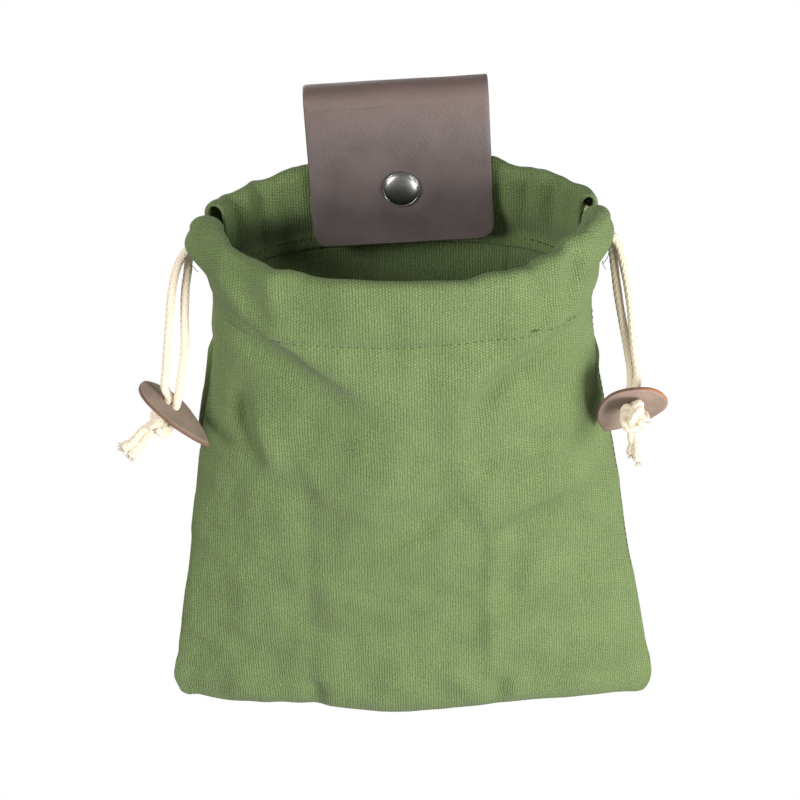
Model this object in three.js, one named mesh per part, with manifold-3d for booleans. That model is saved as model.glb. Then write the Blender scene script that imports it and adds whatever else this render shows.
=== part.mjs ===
// Drawstring dice bag: a canvas pouch with a leather belt loop, one snap and two drawstrings.
// Millimetres, +Z up. The parts are drawn in bag coordinates: X runs across the bag, Y runs back
// to the rear face of the canvas at zero, and Z runs up from the bottom. The finished group is
// shifted so that its origin is the inside crown of the belt loop, where a belt carries the bag.
import * as THREE from 'three';
import { mergeVertices } from 'three/addons/utils/BufferGeometryUtils.js';
import Module from 'manifold-3d';

const wasm = await Module();
wasm.setup();

// Canvas body
const CANVAS = 1.2;
const LAYER_GAP = 0.3;
const MOUTH_SAG = 10.6;
const MOUTH_RISE = 8;
const FRONT_SQUARENESS = 0.95;
const BODY_COLUMNS = 18;
const BODY_ROWS = 13;

// Hem casings along the mouth
const CASING_HEIGHT = 31;
const CASING_DEPTH = 8;
const HEM_GAP = 1.4;
const RIM_HEIGHT = 258;
const FRONT_RIM = { half: 80, seamY: -33, depth: 47.5, endY: -36 };
const BACK_RIM = { half: 79, seamY: -31, depth: 30.7, endY: -26 };
const EAR_FLARE = 7;
const EAR_DROP = 0.65;
const CASING_STEPS = 22;
const CASING_SIDES = 12;

// Leather belt strap
const LEATHER = 2;
const STRAP_WIDTH = 74;
const STRAP_ROLL = THREE.MathUtils.degToRad(-2);
const PLATE_FRONT_Y = 0.3;
const PLATE_BOTTOM_Z = 150;
const FOLD_RADIUS = 6;
const FOLD_Z = 293;
const FLAP_BOTTOM_Z = 233.5;
const FLAP_CORNER = 6;
const PLATE_STITCH_INSET = 4;
const PLATE_STITCH_TOP_Z = 226;

// Snap fastener
const SNAP_Z = 257.6;
const SNAP_CAP_RADIUS = 7.5;
const SNAP_HOLE_RADIUS = 2.1;
const SNAP_POST_RADIUS = 1.7;
const SNAP_CAP_RISE = 2.6;
const SNAP_SOCKET_RADIUS = 6.5;
const SNAP_STUD_RADIUS = 5.5;
const SNAP_FLANGE = 0.7;
const METAL_GAP = 0.3;

// Drawstrings
const CORD_RADIUS = 1.75;
const CORD_SIDES = 8;
const RUN_STEPS = 62;
const STRAND_STEPS = 22;
const LEFT_RUN_LEVEL = 2;
const RIGHT_RUN_LEVEL = -4;
const LEFT_RUN_RISE = 7;
const RIGHT_RUN_RISE = 6;
const CORD_PITCH = 1.95;

// Leather discs and knots
const DISC_THICKNESS = 2;
const DISC_TIP = 23;
const DISC_ROUND_END = -15;
const DISC_HALF_WIDTH = 12.7;
const KNOT_RADIUS = 6.3;
const TAIL_RADIUS = 2.2;

// Thread
const THREAD_RADIUS = 0.4;
const THREAD_SIDES = 5;
const HEM_THREAD_STEPS = 36;
const SEAM_THREAD_STEPS = 24;
const SEAM_THREAD_RISES = { low: 0.3, high: 0.94 };
const BOTTOM_THREAD_INSET = 3;

// Levels of the canvas body from the bottom seam up to the hem line. half is half the width,
// seamY the place of the side seams, front and back how far each panel bulges from the seams.
const BODY_LEVELS = [
  { z: 4, half: 103, seamY: -8, front: 0, back: 0 },
  { z: 5, half: 106, seamY: -8, front: 8, back: 3 },
  { z: 12, half: 109, seamY: -8, front: 15, back: 5.5 },
  { z: 36, half: 105.3, seamY: -10, front: 18.6, back: 8.3 },
  { z: 90, half: 96, seamY: -18, front: 23.4, back: 16.3 },
  { z: 140, half: 88.5, seamY: -25, front: 28, back: 23.3 },
  { z: 196, half: 78.5, seamY: -32, front: 33, back: 30.3 },
  { z: 225.6, half: 76.5, seamY: -33.5, front: 38.5, back: 31.8 },
];

// Where each tassel's disc lies: the middle of its hole, its top face's normal and the direction of
// its pointed tip. Then the middle of the knot under it and the ends of the knot's two tails.
const LEFT_TASSEL = {
  hole: new THREE.Vector3(-97.4, -42, 175.8),
  normal: new THREE.Vector3(0.633, 0.051, 0.772).normalize(),
  tip: new THREE.Vector3(0.707, -0.443, -0.551).normalize(),
  knot: new THREE.Vector3(-101.6, -42.5, 169.3),
  tails: [new THREE.Vector3(-117.6, -44, 158.2), new THREE.Vector3(-114.6, -44, 154.3)],
};
const RIGHT_TASSEL = {
  hole: new THREE.Vector3(92, -51, 176.2),
  normal: new THREE.Vector3(0.038, 0.829, 0.558).normalize(),
  tip: new THREE.Vector3(-0.454, 0.512, -0.73).normalize(),
  knot: new THREE.Vector3(92.2, -59.2, 174.4),
  tails: [new THREE.Vector3(94, -59.5, 155), new THREE.Vector3(91.4, -57, 156.8)],
};

// Routes of the free strands, from inside the casing's mouth down to the disc's hole.
const LEFT_STRAND_FRONT = [
  [-77, -38.5, 243.6], [-77.9, -36.3, 243.9], [-80.2, -34.2, 244.2], [-84.8, -33.4, 243],
  [-88.3, -33.5, 239.4], [-90.8, -33.7, 235], [-92.7, -34.5, 229.2], [-94, -35.5, 223],
  [-95.3, -37, 213.5], [-96.5, -38.5, 204.3], [-98.1, -40, 191.6], [-99.1, -40.6, 183.8],
];
const LEFT_STRAND_BACK = [
  [-73.2, -26.1, 245.2], [-74, -28.5, 245.4], [-75.8, -30.1, 245], [-79.2, -30.2, 244.3],
  [-83.4, -29.7, 242.3], [-86.1, -29.6, 237.4], [-87.3, -30.5, 230.6], [-88.5, -31.5, 224.2],
  [-89.4, -33.3, 214.5], [-89.9, -36, 202.4], [-90.6, -37.4, 195.8], [-92.2, -39.8, 188.4],
  [-93.6, -42.6, 181.2],
];
const RIGHT_STRAND_FRONT = [
  [77, -38.5, 243.3], [77.9, -36.3, 243.6], [80.2, -34.2, 244], [84.1, -33.4, 242.8],
  [86.6, -33.5, 239.1], [87.7, -34, 234.6], [89, -35.3, 229], [90.3, -36.5, 222.5],
  [91.4, -38, 215.3], [92.2, -40.2, 206], [93.1, -42.8, 196.8], [94.2, -46.2, 187.5],
];
const RIGHT_STRAND_BACK = [
  [73.2, -26.1, 244.8], [74, -28.5, 245], [75.8, -30.1, 244.7], [78.8, -30.2, 243.9],
  [82, -29.7, 242.2], [84, -29.8, 238.4], [85.1, -31.2, 230.3], [86.4, -33, 220],
  [87.8, -35.2, 210.9], [89.5, -37.6, 201.6], [91, -39.8, 192.9], [91.9, -43, 185.2],
];

const CANVAS_GREEN = new THREE.MeshStandardMaterial({ color: 0x66873f, roughness: 0.95 });
const LEATHER_BROWN = new THREE.MeshStandardMaterial({ color: 0x4f3f3b, roughness: 0.6 });
const DISC_BROWN = new THREE.MeshStandardMaterial({ color: 0x6f5c54, roughness: 0.7 });
const GUNMETAL = new THREE.MeshStandardMaterial({ color: 0x3a3b3c, roughness: 0.2, metalness: 1 });
const COTTON = new THREE.MeshStandardMaterial({ color: 0xe9dcc0, roughness: 0.95 });
const GREEN_THREAD = new THREE.MeshStandardMaterial({ color: 0x5b7a3a, roughness: 0.9 });
const BROWN_THREAD = new THREE.MeshStandardMaterial({ color: 0x3b2f2b, roughness: 0.9 });

const vec = (x, y, z) => new THREE.Vector3(x, y, z);
const wrap = (index, count) => ((index % count) + count) % count;

// ---- closed solids from grids of points ----

// A closed geometry whose faces point out, whichever way its triangles were listed.
function closedGeometry(points, triangles) {
  let volume = 0;
  for (const [a, b, c] of triangles) {
    volume += points[a].dot(points[b].clone().cross(points[c]));
  }
  const ordered = volume > 0 ? triangles : triangles.map(([a, b, c]) => [a, c, b]);
  const geometry = new THREE.BufferGeometry().setFromPoints(points);
  geometry.setIndex(ordered.flat());
  geometry.computeVertexNormals();
  return geometry;
}

const quad = (a, b, c, d) => [[a, b, c], [a, c, d]];

// A sheet of even thickness: outer and inner hold rows of points of the same counts.
function sheetSolid(outer, inner) {
  const rows = outer.length;
  const columns = outer[0].length;
  const points = [...outer.flat(), ...inner.flat()];
  const top = (row, column) => row * columns + column;
  const under = (row, column) => rows * columns + top(row, column);
  const triangles = [];
  for (let row = 0; row < rows - 1; row += 1) {
    for (let column = 0; column < columns - 1; column += 1) {
      triangles.push(...quad(
        top(row, column), top(row, column + 1), top(row + 1, column + 1), top(row + 1, column)));
      triangles.push(...quad(
        under(row, column), under(row + 1, column), under(row + 1, column + 1), under(row, column + 1)));
    }
  }
  const border = [];
  for (let column = 0; column < columns - 1; column += 1) border.push([0, column]);
  for (let row = 0; row < rows - 1; row += 1) border.push([row, columns - 1]);
  for (let column = columns - 1; column > 0; column -= 1) border.push([rows - 1, column]);
  for (let row = rows - 1; row > 0; row -= 1) border.push([row, 0]);
  border.forEach((place, index) => {
    const next = border[(index + 1) % border.length];
    triangles.push(...quad(top(...next), top(...place), under(...place), under(...next)));
  });
  return closedGeometry(points, triangles);
}

// A hollow tube, open at both ends: outer and inner hold one closed loop of points per station.
function hollowTubeSolid(outer, inner) {
  const stations = outer.length;
  const sides = outer[0].length;
  const points = [...outer.flat(), ...inner.flat()];
  const skin = (station, side) => station * sides + wrap(side, sides);
  const bore = (station, side) => stations * sides + skin(station, side);
  const triangles = [];
  for (let side = 0; side < sides; side += 1) {
    for (let station = 0; station < stations - 1; station += 1) {
      triangles.push(...quad(
        skin(station, side), skin(station, side + 1), skin(station + 1, side + 1), skin(station + 1, side)));
      triangles.push(...quad(
        bore(station, side), bore(station + 1, side), bore(station + 1, side + 1), bore(station, side + 1)));
    }
    triangles.push(...quad(skin(0, side + 1), skin(0, side), bore(0, side), bore(0, side + 1)));
    const end = stations - 1;
    triangles.push(...quad(skin(end, side), skin(end, side + 1), bore(end, side + 1), bore(end, side)));
  }
  return closedGeometry(points, triangles);
}

// A round solid tube along a smooth curve through the points.
function tubeSolid(points, radius, sides, steps, closed = false) {
  const section = new THREE.Shape();
  for (let side = 0; side < sides; side += 1) {
    const angle = (side / sides) * 2 * Math.PI;
    const corner = [radius * Math.cos(angle), radius * Math.sin(angle)];
    if (side === 0) section.moveTo(...corner);
    else section.lineTo(...corner);
  }
  const extrudePath = new THREE.CatmullRomCurve3(points, closed);
  return new THREE.ExtrudeGeometry(section, { steps, extrudePath });
}

// ---- joining and cutting ----

function toManifold(geometry) {
  const bare = geometry.clone();
  bare.deleteAttribute('normal');
  bare.deleteAttribute('uv');
  const merged = mergeVertices(bare, 1e-3);
  const mesh = new wasm.Mesh({
    numProp: 3,
    vertProperties: Float32Array.from(merged.attributes.position.array),
    triVerts: Uint32Array.from(merged.index.array),
  });
  mesh.merge();
  return new wasm.Manifold(mesh);
}

function fromManifold(solid) {
  const { vertProperties, triVerts } = solid.getMesh();
  const geometry = new THREE.BufferGeometry();
  geometry.setAttribute('position', new THREE.BufferAttribute(vertProperties, 3));
  geometry.setIndex(new THREE.BufferAttribute(triVerts, 1));
  geometry.computeVertexNormals();
  return geometry;
}

const cut = (geometry, tool) => fromManifold(toManifold(geometry).subtract(toManifold(tool)));

function join(geometries) {
  return fromManifold(geometries.map(toManifold).reduce((whole, next) => whole.add(next)));
}

// The drill that clears the snap's rivet through leather and canvas.
function snapDrill() {
  const drill = new THREE.CylinderGeometry(SNAP_HOLE_RADIUS, SNAP_HOLE_RADIUS, 40, 16);
  drill.translate(0, 0, SNAP_Z);
  return drill;
}

// ---- canvas body ----

const sideCurve = new THREE.CatmullRomCurve3(
  BODY_LEVELS.map((level) => vec(level.half, level.seamY, level.z)));
const bulgeCurve = new THREE.CatmullRomCurve3(
  BODY_LEVELS.map((level) => vec(level.front, level.back, level.z)));

// How much of the mouth's dip reaches this height of the body.
const mouthShare = (rise) => Math.max(0, (rise - 0.45) / 0.55) ** 2;

// A point of the front panel's outer face: turn runs from -90 to 90 degrees between the side
// seams, and rise from 0 at the bottom seam to 1 at the hem line.
function frontPoint(turn, rise) {
  const side = sideCurve.getPoint(rise);
  const bulge = bulgeCurve.getPoint(rise);
  const open = Math.max(0, Math.cos(turn));
  const fullness = open ** THREE.MathUtils.lerp(2, FRONT_SQUARENESS, rise);
  return vec(
    side.x * Math.sin(turn),
    side.y - CANVAS - LAYER_GAP / 2 - bulge.x * fullness,
    side.z - MOUTH_SAG * mouthShare(rise) * open);
}

// The same for the back panel, whose middle stays flat against the leather plate.
function backPoint(turn, rise) {
  const side = sideCurve.getPoint(rise);
  const bulge = bulgeCurve.getPoint(rise);
  const fullness = backFullness(turn, rise);
  return vec(
    side.x * Math.sin(turn),
    side.y + CANVAS + LAYER_GAP / 2 + bulge.y * fullness,
    side.z + MOUTH_RISE * mouthShare(rise) * fullness ** 2);
}

function backFullness(turn, rise) {
  const across = Math.min(1, Math.abs(Math.sin(turn)));
  return (1 - across ** (2 + rise)) ** (1 / (1 + 1.2 * rise));
}

// The panel's outward normal there, taken a little inside its edges.
function outwardNormal(surface, turn, rise, outward) {
  const step = 0.01;
  const inTurn = THREE.MathUtils.clamp(turn, -1.5, 1.5);
  const inRise = THREE.MathUtils.clamp(rise, step, 1 - step);
  const across = surface(inTurn + step, inRise).sub(surface(inTurn - step, inRise));
  const up = surface(inTurn, inRise + step).sub(surface(inTurn, inRise - step));
  return across.cross(up).normalize().multiplyScalar(outward);
}

function panel(surface, outward) {
  const outer = [];
  const inner = [];
  for (let row = 0; row <= BODY_ROWS; row += 1) {
    const rise = row / BODY_ROWS;
    const turns = Array.from({ length: BODY_COLUMNS + 1 }, (_, column) => (
      (column / BODY_COLUMNS - 0.5) * Math.PI));
    outer.push(turns.map((turn) => surface(turn, rise)));
    inner.push(turns.map((turn) => (
      surface(turn, rise).addScaledVector(outwardNormal(surface, turn, rise, outward), -CANVAS))));
  }
  return sheetSolid(outer, inner);
}

// ---- hem casings ----

const frontRim = (turn) => vec(
  FRONT_RIM.half * Math.sin(turn),
  FRONT_RIM.seamY - FRONT_RIM.depth * Math.cos(turn) ** FRONT_SQUARENESS,
  RIM_HEIGHT - MOUTH_SAG * Math.cos(turn));
const backRim = (turn) => vec(
  BACK_RIM.half * Math.sin(turn),
  BACK_RIM.seamY + BACK_RIM.depth * backFullness(turn, 1),
  RIM_HEIGHT + MOUTH_RISE * backFullness(turn, 1) ** 2);
const frontHem = (turn) => frontPoint(turn, 1).add(vec(0, 0, HEM_GAP));
const backHem = (turn) => backPoint(turn, 1).add(vec(0, 0, HEM_GAP));

const FRONT_HEM = {
  rim: frontRim, hem: frontHem, flare: EAR_FLARE, lastTurn: turnAtY(frontRim, FRONT_RIM.endY),
};
const BACK_HEM = {
  rim: backRim, hem: backHem, flare: 0, lastTurn: turnAtY(backRim, BACK_RIM.endY),
};

// The turn at which a rim, followed from its middle to the right side seam, reaches this Y.
function turnAtY(rim, y) {
  let low = 0;
  let high = Math.PI / 2;
  const towardsBack = rim(high).y > rim(low).y;
  for (let halving = 0; halving < 40; halving += 1) {
    const middle = (low + high) / 2;
    if ((rim(middle).y < y) === towardsBack) low = middle;
    else high = middle;
  }
  return low;
}

// The casing at one turn: its rim point, its direction down the canvas, its direction into the bag,
// and how far the ears at the front casing's two ends stand out there.
function casingSection(casing, turn) {
  const step = 0.01;
  const rim = casing.rim(turn);
  const down = casing.hem(turn).sub(rim).normalize();
  const before = Math.max(-casing.lastTurn, turn - step);
  const after = Math.min(casing.lastTurn, turn + step);
  const along = casing.rim(after).sub(casing.rim(before)).normalize();
  const inward = down.clone().cross(along).normalize();
  if (inward.dot(vec(0, -38, rim.z).sub(rim)) < 0) inward.negate();
  const ear = THREE.MathUtils.smoothstep(Math.abs(turn), 0.75 * casing.lastTurn, casing.lastTurn);
  return { rim, down, inward, flare: casing.flare * ear };
}

// An ear is widest a third of the way down and ends where the hem is drawn in to the body.
const earShape = (drop) => Math.sin(Math.PI * Math.min(1, drop / EAR_DROP));

// The point of a section at this drop, from 0 at the rim to 1 at the hem, and this depth in mm.
function sectionPoint({ rim, down, inward }, drop, depth) {
  return rim.clone().addScaledVector(down, drop * CASING_HEIGHT).addScaledVector(inward, depth);
}

function casingLoop(section, wall) {
  const squareness = 0.7;
  return Array.from({ length: CASING_SIDES }, (_, side) => {
    const angle = (side / CASING_SIDES) * 2 * Math.PI;
    const low = Math.sign(Math.cos(angle)) * Math.abs(Math.cos(angle)) ** squareness;
    const deep = Math.sign(Math.sin(angle)) * Math.abs(Math.sin(angle)) ** squareness;
    const drop = 0.5 + low * (0.5 - wall / CASING_HEIGHT);
    const outward = deep < 0 ? section.flare * earShape(drop) : 0;
    return sectionPoint(section, drop, CASING_DEPTH / 2 + deep * (CASING_DEPTH / 2 - wall) - outward);
  });
}

function casingSolid(casing) {
  const sections = Array.from({ length: CASING_STEPS + 1 }, (_, step) => (
    casingSection(casing, (2 * step / CASING_STEPS - 1) * casing.lastTurn)));
  return hollowTubeSolid(
    sections.map((section) => casingLoop(section, 0)),
    sections.map((section) => casingLoop(section, CANVAS)));
}

// ---- threads ----

// The hem's threads lie between the panel's top edge and the casing's lower edge. inward is 1 where
// the bag's inside is behind the surface, and -1 where it is in front.
function hemThread(surface, lastTurn, inward) {
  const spans = HEM_THREAD_STEPS / 2;
  const points = Array.from({ length: spans + 1 }, (_, index) => {
    const turn = (2 * index / spans - 1) * lastTurn;
    return surface(turn, 1).add(vec(0, inward * CANVAS / 2, HEM_GAP / 2));
  });
  return tubeSolid(points, THREAD_RADIUS, THREAD_SIDES, HEM_THREAD_STEPS);
}

// The side seams' threads lie in the groove between the two panels.
function seamThread(side) {
  const { low, high } = SEAM_THREAD_RISES;
  const spans = SEAM_THREAD_STEPS / 3;
  const points = Array.from({ length: spans + 1 }, (_, index) => {
    const place = sideCurve.getPoint(THREE.MathUtils.lerp(low, high, index / spans));
    return vec(side * (place.x + 1.5 * THREAD_RADIUS), place.y, place.z);
  });
  return tubeSolid(points, THREAD_RADIUS, THREAD_SIDES, SEAM_THREAD_STEPS);
}

function bottomThread() {
  const { half, seamY, z } = BODY_LEVELS[0];
  const reach = half - BOTTOM_THREAD_INSET;
  const points = [-1, -0.5, 0, 0.5, 1].map((across) => vec(across * reach, seamY, z));
  return tubeSolid(points, THREAD_RADIUS, THREAD_SIDES, points.length + 1);
}

function plateThread() {
  const halfWidth = STRAP_WIDTH / 2 - PLATE_STITCH_INSET;
  const low = PLATE_BOTTOM_Z + PLATE_STITCH_INSET;
  const high = PLATE_STITCH_TOP_Z;
  const ring = new THREE.Shape();
  ring.moveTo(-halfWidth, low).lineTo(halfWidth, low).lineTo(halfWidth, high).lineTo(-halfWidth, high);
  const inner = new THREE.Path();
  const width = 2 * THREAD_RADIUS;
  inner.moveTo(width - halfWidth, low + width).lineTo(width - halfWidth, high - width);
  inner.lineTo(halfWidth - width, high - width).lineTo(halfWidth - width, low + width);
  ring.holes.push(inner);
  const thread = new THREE.ExtrudeGeometry(ring, { depth: width, bevelEnabled: false });
  thread.rotateX(Math.PI / 2);
  thread.translate(0, PLATE_FRONT_Y + LEATHER + LAYER_GAP + width, 0);
  return thread;
}

// ---- leather strap ----

// The plate behind the bag and the fold over the belt, as one side view pulled across the strap.
function beltLoop() {
  const centreY = PLATE_FRONT_Y - FOLD_RADIUS;
  const outer = FOLD_RADIUS + LEATHER;
  const profile = new THREE.Shape();
  profile.moveTo(PLATE_FRONT_Y, PLATE_BOTTOM_Z);
  profile.lineTo(PLATE_FRONT_Y + LEATHER, PLATE_BOTTOM_Z);
  profile.absarc(centreY, FOLD_Z, outer, 0, Math.PI, false);
  profile.absarc(centreY, FOLD_Z, FOLD_RADIUS, Math.PI, 0, true);
  const loop = new THREE.ExtrudeGeometry(profile, {
    depth: STRAP_WIDTH, bevelEnabled: false, curveSegments: 14 });
  loop.translate(0, 0, -STRAP_WIDTH / 2);
  loop.applyMatrix4(new THREE.Matrix4().makeBasis(vec(0, 1, 0), vec(0, 0, 1), vec(1, 0, 0)));
  return rollStrap(cut(loop, snapDrill()));
}

// The free front of the strap, with its two rounded bottom corners.
function beltFlap() {
  const half = STRAP_WIDTH / 2;
  const outline = new THREE.Shape();
  outline.moveTo(-half, FOLD_Z - LAYER_GAP);
  outline.lineTo(-half, FLAP_BOTTOM_Z + FLAP_CORNER);
  outline.absarc(-half + FLAP_CORNER, FLAP_BOTTOM_Z + FLAP_CORNER, FLAP_CORNER, Math.PI, 1.5 * Math.PI);
  outline.absarc(half - FLAP_CORNER, FLAP_BOTTOM_Z + FLAP_CORNER, FLAP_CORNER, 1.5 * Math.PI, 2 * Math.PI);
  outline.lineTo(half, FOLD_Z - LAYER_GAP);
  const flap = new THREE.ExtrudeGeometry(outline, { depth: LEATHER, bevelEnabled: false, curveSegments: 6 });
  flap.rotateX(Math.PI / 2);
  flap.translate(0, PLATE_FRONT_Y - 2 * FOLD_RADIUS, 0);
  return rollStrap(cut(flap, snapDrill()));
}

// The strap is sewn on a little askew: it is turned about the snap.
function rollStrap(geometry) {
  geometry.translate(0, 0, -SNAP_Z);
  geometry.rotateY(STRAP_ROLL);
  geometry.translate(0, 0, SNAP_Z);
  return geometry;
}

// ---- snap fastener ----

// A turned piece on the snap's axis: profile gives [radius, Y] pairs, Y running back.
function snapTurning(profile) {
  const turning = new THREE.LatheGeometry(profile.map(([r, y]) => new THREE.Vector2(r, y)), 20);
  turning.translate(0, 0, SNAP_Z);
  return turning;
}

const FLAP_REAR_Y = PLATE_FRONT_Y - 2 * FOLD_RADIUS;
const FLAP_FRONT_Y = FLAP_REAR_Y - LEATHER;

function snapCap() {
  const back = FLAP_FRONT_Y - METAL_GAP;
  const postEnd = FLAP_REAR_Y + 0.4;
  const dome = [0, 0.38, 0.7, 0.92, 1].map((share) => [
    share * SNAP_CAP_RADIUS, back - SNAP_CAP_RISE * Math.sqrt(1 - share ** 2)]);
  return snapTurning([
    ...dome, [SNAP_POST_RADIUS, back], [SNAP_POST_RADIUS, postEnd], [0, postEnd]]);
}

function snapSocket() {
  const front = FLAP_REAR_Y + METAL_GAP;
  return snapTurning([
    [SNAP_HOLE_RADIUS, front], [SNAP_SOCKET_RADIUS, front],
    [SNAP_SOCKET_RADIUS, front + SNAP_FLANGE], [4, front + 1], [3.6, front + 2], [2.6, front + 2],
    [SNAP_HOLE_RADIUS, front]]);
}

const CASING_FRONT_Y = backRim(0).y - CASING_DEPTH;

function snapStud() {
  const back = CASING_FRONT_Y - METAL_GAP;
  return snapTurning([
    [0, back - 1.8], [1.4, back - 1.8], [1.9, back - 1.4], [1.6, back - SNAP_FLANGE],
    [SNAP_STUD_RADIUS, back - SNAP_FLANGE], [SNAP_STUD_RADIUS, back], [0, back]]);
}

function snapPost() {
  const front = PLATE_FRONT_Y + LEATHER + METAL_GAP;
  const end = CASING_FRONT_Y + 0.1;
  return snapTurning([
    [0, end], [SNAP_POST_RADIUS, end], [SNAP_POST_RADIUS, front], [SNAP_STUD_RADIUS, front],
    [SNAP_STUD_RADIUS - 0.3, front + SNAP_FLANGE], [3, front + 1.1], [0, front + 1.1]]);
}

// ---- drawstrings ----

// One cord through both casings: in at one side of the front casing, across to the back casing
// beyond the far side seam, and back to where it started. It climbs towards the right seam.
function drawstringRun(startSide, level, rise) {
  const perCasing = 15;
  const inside = 0.965;
  const points = [];
  const place = (casing, across) => {
    const section = casingSection(casing, across * casing.lastTurn);
    const drop = 0.5 - (level + rise * Math.max(0, across) ** 2) / CASING_HEIGHT;
    return sectionPoint(section, drop, (CASING_DEPTH - section.flare * earShape(drop)) / 2);
  };
  for (let index = 0; index < perCasing; index += 1) {
    const along = index / (perCasing - 1);
    points.push(place(FRONT_HEM, startSide * (inside - 2 * inside * along)));
  }
  for (let index = 0; index < perCasing; index += 1) {
    const along = index / (perCasing - 1);
    points.push(place(BACK_HEM, -startSide * (inside - 2 * inside * along)));
  }
  return tubeSolid(points, CORD_RADIUS, CORD_SIDES, RUN_STEPS);
}

// A free strand: its route, then through the disc's hole, ending just under the disc. slot is -1
// for the strand nearer the disc's round end and 1 for the one nearer its tip.
function strand(route, tassel, slot) {
  const through = (distance) => tassel.hole.clone()
    .addScaledVector(tassel.tip, slot * CORD_PITCH)
    .addScaledVector(tassel.normal, distance);
  const points = route.map((place) => vec(...place));
  points.push(through(2), through(0), through(-DISC_THICKNESS / 2 - 0.1));
  return tubeSolid(points, CORD_RADIUS, CORD_SIDES, STRAND_STEPS);
}

// Turns a shape drawn with its tip along X and its top face along Z into its place on the tassel.
function placeOnTassel(geometry, { hole, normal, tip }) {
  const across = normal.clone().cross(tip);
  geometry.applyMatrix4(new THREE.Matrix4().makeBasis(tip, across, normal));
  geometry.translate(hole.x, hole.y, hole.z);
  return geometry;
}

// A teardrop of leather with one long hole for both strands.
function disc(tassel) {
  const outline = new THREE.Shape();
  outline.moveTo(DISC_TIP, 0);
  outline.bezierCurveTo(16, 9, 7, DISC_HALF_WIDTH, -2, DISC_HALF_WIDTH);
  outline.bezierCurveTo(-10, DISC_HALF_WIDTH, DISC_ROUND_END, 7, DISC_ROUND_END, 0);
  outline.bezierCurveTo(DISC_ROUND_END, -7, -10, -DISC_HALF_WIDTH, -2, -DISC_HALF_WIDTH);
  outline.bezierCurveTo(7, -DISC_HALF_WIDTH, 16, -9, DISC_TIP, 0);
  const holeRadius = CORD_RADIUS + 0.4;
  const hole = new THREE.Path();
  hole.absarc(CORD_PITCH, 0, holeRadius, -Math.PI / 2, Math.PI / 2);
  hole.absarc(-CORD_PITCH, 0, holeRadius, Math.PI / 2, 1.5 * Math.PI);
  outline.holes.push(hole);
  const leather = new THREE.ExtrudeGeometry(outline, {
    depth: DISC_THICKNESS, bevelEnabled: false, curveSegments: 7 });
  leather.translate(0, 0, -DISC_THICKNESS / 2);
  return placeOnTassel(leather, tassel);
}

// The overhand knot under the disc as one rounded lump, with the two tails that hang from it.
function knot({ knot: centre, tails: ends }) {
  const lump = new THREE.SphereGeometry(KNOT_RADIUS, 16, 10);
  lump.translate(centre.x, centre.y, centre.z);
  const tails = ends.map((end) => (
    tubeSolid([centre, centre.clone().lerp(end, 0.5), end], TAIL_RADIUS, CORD_SIDES, 4)));
  return join([lump, ...tails]);
}

// ---- assembly ----

const bag = new THREE.Group();

function addPart(name, geometry, material) {
  const mesh = new THREE.Mesh(geometry, material);
  mesh.name = name;
  bag.add(mesh);
}

addPart('front_panel', panel(frontPoint, 1), CANVAS_GREEN);
addPart('back_panel', panel(backPoint, -1), CANVAS_GREEN);
addPart('front_casing', casingSolid(FRONT_HEM), CANVAS_GREEN);
addPart('back_casing', cut(casingSolid(BACK_HEM), snapDrill()), CANVAS_GREEN);
addPart('front_hem_stitching', hemThread(frontPoint, FRONT_HEM.lastTurn, 1), GREEN_THREAD);
addPart('back_hem_stitching', hemThread(backPoint, BACK_HEM.lastTurn, -1), GREEN_THREAD);
addPart('left_seam_stitching', seamThread(-1), GREEN_THREAD);
addPart('right_seam_stitching', seamThread(1), GREEN_THREAD);
addPart('bottom_seam_stitching', bottomThread(), GREEN_THREAD);
addPart('belt_loop', beltLoop(), LEATHER_BROWN);
addPart('plate_stitching', rollStrap(plateThread()), BROWN_THREAD);
addPart('belt_flap', beltFlap(), LEATHER_BROWN);
addPart('snap_cap', snapCap(), GUNMETAL);
addPart('snap_socket', snapSocket(), GUNMETAL);
addPart('snap_stud', snapStud(), GUNMETAL);
addPart('snap_post', snapPost(), GUNMETAL);
addPart('left_drawstring_run', drawstringRun(-1, LEFT_RUN_LEVEL, LEFT_RUN_RISE), COTTON);
addPart('right_drawstring_run', drawstringRun(1, RIGHT_RUN_LEVEL, RIGHT_RUN_RISE), COTTON);
addPart('left_strand_front', strand(LEFT_STRAND_FRONT, LEFT_TASSEL, -1), COTTON);
addPart('left_strand_back', strand(LEFT_STRAND_BACK, LEFT_TASSEL, 1), COTTON);
addPart('right_strand_front', strand(RIGHT_STRAND_FRONT, RIGHT_TASSEL, -1), COTTON);
addPart('right_strand_back', strand(RIGHT_STRAND_BACK, RIGHT_TASSEL, 1), COTTON);
addPart('left_disc', disc(LEFT_TASSEL), DISC_BROWN);
addPart('right_disc', disc(RIGHT_TASSEL), DISC_BROWN);
addPart('left_knot', knot(LEFT_TASSEL), COTTON);
addPart('right_knot', knot(RIGHT_TASSEL), COTTON);

// The origin goes to the inside crown of the belt loop.
bag.position.set(0, FOLD_RADIUS - PLATE_FRONT_Y, -(FOLD_Z + FOLD_RADIUS));

export default bag;
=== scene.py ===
"""Looks of the drawstring dice bag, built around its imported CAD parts.

Shapes are drawn in the CAD part's bag coordinates, in millimetres: X across the bag, Y back with
zero at the rear canvas face, Z up from the bottom. to_row() turns them into the row frame.
"""

import math

import bmesh
import bpy
import numpy as np
from mathutils import Matrix, Vector


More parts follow.
